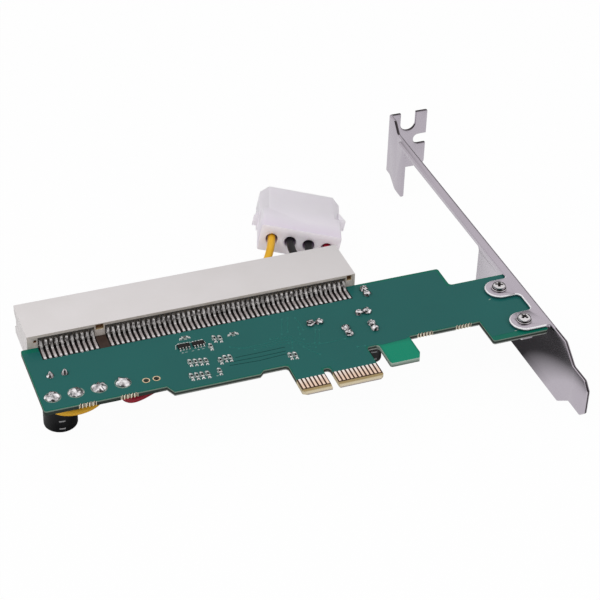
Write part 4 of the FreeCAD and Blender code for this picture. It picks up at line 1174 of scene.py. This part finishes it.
chip_solder("resistor_solder", "chip_resistors", "chip_resistor_ends", 0.0, 0.0)
chip_solder("capacitor_chip_solder", "chip_capacitors", "chip_capacitor_ends", UNDERSIDE, FLIPPED)
places, sizes = [], []
for box in islands("chip_resistors"):
    size = (box[1] - box[0]) * WINDOW_SHARE
    places.append((middle(box).x, middle(box).y, box[1].z))
    sizes.append((size.x, size.y, 1.0))
set_out("resistor_windows", mound(1.0, 1.0, 0.02, 4, 8), places, "resistor_coat",
        sizes=sizes)
arrays = centres("resistor_arrays")
feet = []
for foot in centres("resistor_array_terminals"):
    outward = foot.y - nearest(arrays, foot).y
    feet.append((foot.x, foot.y + math.copysign(ARRAY_FOOT_REACH, outward), 0.0))
set_out("array_solder", mound(0.66, 0.50, 0.26, 4), feet, "chip_solder",
        turns=[(0.0, 0.0, ALONG_Y)] * len(feet), spread=(0.92, 1.05), seed=6)
set_out("ear_pad_splashes", mound(1.3, 0.5, 0.06, 4, 2), EAR_SPLASHES, "pad_rim", spread=(0.7, 1.0),
        swing=0.6, seed=7)

# %% [markdown]
# ## Capacitors
#
# Each electrolytic capacitor is an aluminium can in a black shrink sleeve. The sleeve follows the crimp near
# the board and curls over the closed end, where a ring of bare metal shows with a cross scored into it. A can
# is turned from its outline. The scored end is four flat sectors with a gap between them, set out by the
# copies tree, and a column of short pale bars marks the negative side.

# %% Capacitor cans
CAN_STAND_OFF = 0.3
CAN_GROOVE = 1.9
SLEEVE_LIP = 1.0
SEAL_INSET = 0.9
SEAL_THICKNESS = 1.0
CAN_TOP = UNDERSIDE - CAN_STAND_OFF


def can_outline(radius, low):
    """Sleeved can, from the middle of its closed end round to the seat of its seal."""
    groove = CAN_TOP - CAN_GROOVE
    neck = radius - 0.33
    inner = radius - SEAL_INSET
    lip = radius - SLEEVE_LIP
    return (
        (0.0, low + 0.10), (lip, low + 0.10), (lip, low + 0.02), (lip + 0.06, low), (radius - 0.42, low),
        (radius - 0.20, low + 0.06), (radius - 0.06, low + 0.20), (radius, low + 0.42),
        (radius, groove - 0.60), (radius - 0.05, groove - 0.42), (neck + 0.08, groove - 0.16), (neck, groove),
        (neck + 0.08, groove + 0.16), (radius - 0.05, groove + 0.42), (radius, groove + 0.60),
        (radius, CAN_TOP - 0.30), (radius - 0.08, CAN_TOP - 0.10), (radius - 0.28, CAN_TOP),
        (inner, CAN_TOP), (inner, CAN_TOP - SEAL_THICKNESS), (0.0, CAN_TOP - SEAL_THICKNESS))


cans = []
for node in ("bulk_capacitor_can", "small_capacitor_cans"):
    sleeves = []
    for low, high in islands(node):
        place, radius = (low + high) / 2, (high.x - low.x) / 2
        cans.append((place, radius, low.z))
        sleeves.append((lathe(can_outline(radius, low.z), 56), place))
    mesh = joined(sleeves)
    smooth(mesh)
    add_piece(node + "_dressed", mesh, "sleeve_black", [node])
print("cans:", len(cans))

# %% Scored ends and marks of the cans
SCORE_GAP = 0.10
SECTOR_STEPS = 8
SECTOR_HEIGHTS = (0.03, 0.12)
QUARTER = math.pi / 2
MARKED_SIDE = math.radians(-97)
BAR_HEIGHTS = (1.1, 3.3, 5.5)
BAR_HALF_LENGTH = 0.75
BAR_WIDTH = 0.35

places, turns, sizes, bars = [], [], [], []
for place, radius, low in cans:
    reach = radius - SLEEVE_LIP - 0.05
    for quarter in range(4):
        gap = polar(SCORE_GAP, math.pi / 4 + quarter * QUARTER, 0)
        places.append((place.x + gap.x, place.y + gap.y, low))
        turns.append((0.0, 0.0, quarter * QUARTER))
        sizes.append((reach - SCORE_GAP, reach - SCORE_GAP, 1.0))
    half = BAR_HALF_LENGTH / radius
    for height in BAR_HEIGHTS:
        bar = curved_block(radius - 0.05, radius + 0.012, MARKED_SIDE - half, MARKED_SIDE + half,
                           low + height, low + height + BAR_WIDTH, 6)
        bars.append((bar, place))
set_out("can_ends", curved_block(0.02, 1.0, 0.0, QUARTER, *SECTOR_HEIGHTS, SECTOR_STEPS), places, "can_metal",
        turns=turns, sizes=sizes)
add_piece("can_polarity_bars", joined(bars), "print_grey")

# %% [markdown]
# ## Bracket screws
#
# Two pan head screws hold the bracket's ears. A head is turned together with its captive washer, and a
# tapered cross is taken out of it with a Boolean. A dark block in the cross and a dark ring in the gap above
# the washer are painted shade. A few thread rings show below the nut. The copies tree sets both screws in
# their ears, each stopped at a turn of its own.

# %% Bracket screws
SCREW_HEAD = ((1.2, 0.0), (1.80, 0.0), (1.90, 0.08), (1.90, 0.22), (1.82, 0.30), (1.30, 0.30), (1.30, 0.42),
              (1.54, 0.42), (1.62, 0.50), (1.62, 0.82), (1.56, 1.00), (1.38, 1.13), (1.0, 1.19), (0.0, 1.2))
SEAT_RING = tube(1.30, 1.78, 0.325, 0.30)
SCREW_TURNS = [(0.0, 0.0, 0.5), (0.0, 0.0, 1.1)]
THREAD_RINGS = 3
THREAD_PITCH = 0.28
CROSS_ARM = 1.08
CROSS_HALF_WIDTH = 0.36
CROSS_DEPTH = 0.70
CROSS_FLOOR_SHARE = 0.45
# Painted shade in the screws' crosses stops this far below the head's top
SHADE_BELOW_TOP = 0.22


def cross_block(low, high, low_share, high_share):
    """A plus sign between two heights that narrows downwards."""
    a, w = CROSS_ARM, CROSS_HALF_WIDTH
    outline = ((a, -w), (a, w), (w, w), (w, a), (-w, a), (-w, w), (-a, w), (-a, -w), (-w, -w), (-w, -a),
               (w, -a), (w, -w))
    rings = []
    for share, height in ((low_share, low), (high_share, high)):
        rings.append([(x * share, y * share, height) for x, y in outline])
    return skinned(rings, capped=True)


screw_boxes = islands("bracket_screws")
tip, head_top = screw_boxes[0][0].z, screw_boxes[0][1].z
seat = head_top - SCREW_HEAD[-1][1]
cross_floor = head_top - CROSS_DEPTH
outline = [(0.0, tip), (0.8, tip), (1.0, tip + 0.1)]
for ring in range(THREAD_RINGS):
    low = tip + 0.1 + ring * THREAD_PITCH
    outline += [(1.18, low + THREAD_PITCH * 0.4), (1.18, low + THREAD_PITCH * 0.6),
                (1.02, low + THREAD_PITCH)]
outline += [(radius, seat + height) for radius, height in SCREW_HEAD]
screw = shown("screw", lathe(outline, 48))
cutter = shown("cutter", cross_block(cross_floor, head_top + 0.1, CROSS_FLOOR_SHARE, 1.05))
cut = screw.modifiers.new("cross", "BOOLEAN")
cut.object = cutter
cut.operation = "DIFFERENCE"
cut.solver = "EXACT"
screw_mesh = plain_mesh(screw)
drop(cutter)
places = [(middle(box).x, middle(box).y, 0) for box in screw_boxes]
set_out("bracket_screws_dressed", screw_mesh, places, "screw_plate", ["bracket_screws"],
        turns=SCREW_TURNS)
# A dark ring in the gap above each washer and a dark block in each cross, as painted shade
set_out("screw_seat_grime", lathe(SEAT_RING, 36), [(x, y, seat) for x, y, z in places], "bare_window")
recess_shade_block = cross_block(cross_floor, head_top - SHADE_BELOW_TOP, CROSS_FLOOR_SHARE, 0.85)
set_out("screw_recess_grime", recess_shade_block, places, "bare_window", turns=SCREW_TURNS)

# %% [markdown]
# ## Tracks and printed marks
#
# Tracks are narrow copper strips under the lacquer, a shade lighter than the copper sheet they cross, and the
# narrow gaps beside them are a shade darker. They run straight and turn by easy angles. The printed marks are
# thin white lines round the chip parts, with no lettering. Both come from the ribbon tree.

# %% Tracks
TRACK_WIDTH = 0.20
TRACK_THICKNESS = 0.02
TRACK_BEND = 0.8
TRACKS = (
    ((-18.9, -9.4), (-15.6, -10.7), (-11.0, -10.8), (-5.7, -10.2), (-4.0, -10.6), (-1.5, -13.6), (1.5, -15.1),
     (8.5, -15.1)),
    ((-17.1, -10.7), (-11.3, -11.6), (-6.0, -11.1), (-4.3, -11.4), (-1.9, -14.3), (0.6, -16.0)),
    ((-8.7, -9.5), (-5.5, -9.7), (-2.8, -10.4), (-1.0, -12.1)),
    ((0.0, -3.4), (0.3, -6.3), (0.2, -8.5)), ((-0.6, -7.2), (-1.1, -9.9)), ((-3.3, -2.9), (-5.4, -8.5)),
    ((-1.8, -2.8), (-3.7, -8.1)), ((3.0, -9.4), (1.0, -14.3)), ((3.9, -9.7), (2.0, -14.7)),
    ((-4.1, -12.3), (-4.8, -14.5)), ((-13.5, -12.3), (-8.8, -12.1), (-5.0, -12.4)),
    ((-2.1, -15.0), (-0.9, -16.9), (0.6, -18.9)), ((10.2, -19.0), (12.0, -19.2)))
GAPS = (
    ((-19.0, -13.7), (-14.0, -13.7), (-6.4, -13.6)), ((-20.8, -15.0), (-13.5, -15.2), (-6.7, -15.1)),
    ((-21.2, -16.2), (-13.9, -16.6), (-7.1, -16.2)))
VIA = ((0.0, 0.0), (0.30, 0.0), (0.26, 0.03), (0.12, 0.015), (0.0, 0.01))

for name, lines, finish_name in (("tracks", TRACKS, "mask_line"), ("track_gaps", GAPS, "mask_gap")):
    routes = [[on_card(x, y, COPPER) for x, y in line] for line in lines]
    strips = ribbon(routes, TRACK_WIDTH, TRACK_THICKNESS, TRACK_BEND, finish_name)
    add_piece(name, strips, finish_name)
places = [(x, y, COPPER) for line in TRACKS for x, y in (line[0], line[-1])]
set_out("track_vias", lathe(VIA, 10), places, "mask_line")
print("tracks:", len(TRACKS), "gaps:", len(GAPS))

# %% Printed marks
MARK_WIDTH = 0.13
MARK_HEIGHT = 0.016
MARK_BEND = 0.2
MARK_CLEARANCE = 0.11
MARK_HALF_LENGTH = 0.45
ARRAY_FRAME = ((-31.4, -6.2), (-31.0, -4.7), (-30.3, -4.2), (-27.3, -4.5), (-27.0, -4.9), (-24.2, -4.3),
               (-23.9, -6.1))
marks = [ARRAY_FRAME]
marks += [((x, -8.0), (x + 0.55, -8.0)) for x in (-30.5, -29.6, -28.0, -26.6, -25.4)]
marks += [((x, -19.0), (x + 0.5, -19.0)) for x in (-31.1, -29.8, -28.4, -27.0, -25.4, -24.2)]
for box in islands("chip_resistors"):
    centre, size = middle(box), box[1] - box[0]
    for side in (-1, 1):
        if size.y > size.x:
            x = centre.x + side * (size.x / 2 + MARK_CLEARANCE)
            marks.append(((x, centre.y - MARK_HALF_LENGTH), (x, centre.y + MARK_HALF_LENGTH)))
        else:
            y = centre.y + side * (size.y / 2 + MARK_CLEARANCE)
            marks.append(((centre.x - MARK_HALF_LENGTH, y), (centre.x + MARK_HALF_LENGTH, y)))
mark_lines = [[on_card(x, y, COPPER + MARK_HEIGHT / 2) for x, y in line] for line in marks]
printed = ribbon(mark_lines, MARK_WIDTH, MARK_HEIGHT, MARK_BEND, "print_white")
add_piece("printed_marks", printed, "print_white")
print("printed marks:", len(marks))

# %% [markdown]
# ## Stage and light
#
# A pale floor and a large soft sky stand in for a light tent. The sky is brightest overhead. Mirror-like
# metal needs something to show, so in reflections the sky is a studio instead: a bright screen on each side,
# a bright ceiling and a dark front. The floor looks almost white to the camera and keeps a soft shadow. In
# reflections it glows everywhere but under the card. Two large lamps add a little direction, from the left
# and the front.

# %% Stage, light and finish
scene.view_settings.view_transform = "Standard"

SKY_COLOR = rgb(1.0, 0.985, 0.99)
SKY_LIGHT = 0.60
HORIZON_SHARE = 0.30
SIDEWAYS = (0.931, -0.366)  # Level direction between the two side screens
FORWARD = (-0.366, -0.931)  # Level direction of the dark front, square to the screens
DARK_SHARE = 0.05
SCREEN_LEFT = 0.95
SCREEN_RIGHT = 0.55
FLOOR_REACH = 3.0
FLOOR_DROP = 0.0005
FLOOR_COLOR = rgb(0.85, 0.85, 0.85)
FLOOR_SEEN = 0.97
FLOOR_MIRRORED = 0.95
SHADED_X = (-72.0, 66.0)  # The card's footprint on the floor, in card millimetres
SHADED_Y = (-21.0, 4.0)
SHADE_BLUR = 7.0
SHADE_DEPTH = 0.95
# For each lamp: its place, its size and its power
LAMPS = {"key": ((-0.45, -0.25, 0.65), 0.6, 2.6), "fill": ((0.35, -0.55, 0.45), 0.5, 1.0)}


def rays(wiring):
    """Shares of rays that show a surface: by itself or through glass, and in a mirror."""
    path = wiring.place("ShaderNodeLightPath").outputs
    seen = wiring.most(path["Is Camera Ray"], path["Is Transmission Ray"])
    return seen, wiring.times(path["Is Glossy Ray"], wiring.minus(1.0, seen))


world = bpy.data.worlds.new("studio")
world.use_nodes = True
scene.world = world
wiring = Wiring(world.node_tree)
seen, mirrored = rays(wiring)
toward = wiring.split(wiring.place("ShaderNodeTexCoord").outputs["Generated"])
dome = wiring.ramp(toward[2], 0.05, 0.5, HORIZON_SHARE * SKY_LIGHT, SKY_LIGHT)
across = wiring.reach(toward, SIDEWAYS)
screens = wiring.most(wiring.ramp(across, -0.45, -0.75, DARK_SHARE, SCREEN_LEFT),
                      wiring.ramp(across, 0.55, 0.85, DARK_SHARE, SCREEN_RIGHT))
not_front = wiring.ramp(wiring.reach(toward, FORWARD), 0.78, 0.42)
overhead = wiring.times(wiring.ramp(toward[2], 0.32, 0.55), not_front)
studio = wiring.most(screens, overhead)
lit = wiring.plus(wiring.times(dome, wiring.minus(1.0, mirrored)), wiring.times(studio, mirrored))
background = world.node_tree.nodes["Background"].inputs
wiring.feed(background["Color"], SKY_COLOR)
wiring.feed(background["Strength"], wiring.most(lit, seen))

floor_mesh = bpy.data.meshes.new("floor")
corners = [(x * FLOOR_REACH, y * FLOOR_REACH, 0) for x, y in ((-1, -1), (1, -1), (1, 1), (-1, 1))]
floor_mesh.from_pydata(corners, [], [(0, 1, 2, 3)])
floor = shown("floor", floor_mesh)
floor.location.z = -FLOOR_DROP
floor_finish = bpy.data.materials.new("pale_floor")
floor_finish.use_nodes = True
wiring = Wiring(floor_finish.node_tree)
seen, mirrored = rays(wiring)
shade = SHADE_DEPTH
for axis, (low, high) in zip(wiring.card_axes(), (SHADED_X, SHADED_Y)):
    for limit, blur in ((low, SHADE_BLUR), (high, -SHADE_BLUR)):
        shade = wiring.times(shade, wiring.ramp(axis, limit - blur, limit + blur))
diffuse = wiring.place("ShaderNodeBsdfDiffuse", {"Color": FLOOR_COLOR}).outputs[0]
strength = wiring.most(seen, wiring.minus(1.0, shade))
glow = wiring.place("ShaderNodeEmission", {"Strength": strength}).outputs[0]
share = wiring.plus(wiring.times(seen, FLOOR_SEEN), wiring.times(mirrored, FLOOR_MIRRORED))
blend = wiring.place("ShaderNodeMixShader", {0: share, 1: diffuse, 2: glow}).outputs[0]
wiring.feed(floor_finish.node_tree.nodes["Material Output"].inputs["Surface"], blend)
floor_mesh.materials.append(floor_finish)

for name, (place, size, power) in LAMPS.items():
    lamp = bpy.data.lights.new(name, "AREA")
    lamp.size = size
    lamp.energy = power
    holder = shown(name, lamp)
    holder.location = place
    holder.visible_glossy = False
    holder.rotation_euler = (-Vector(place)).to_track_quat("-Z", "Y").to_euler()
print("lamps:", len(LAMPS))
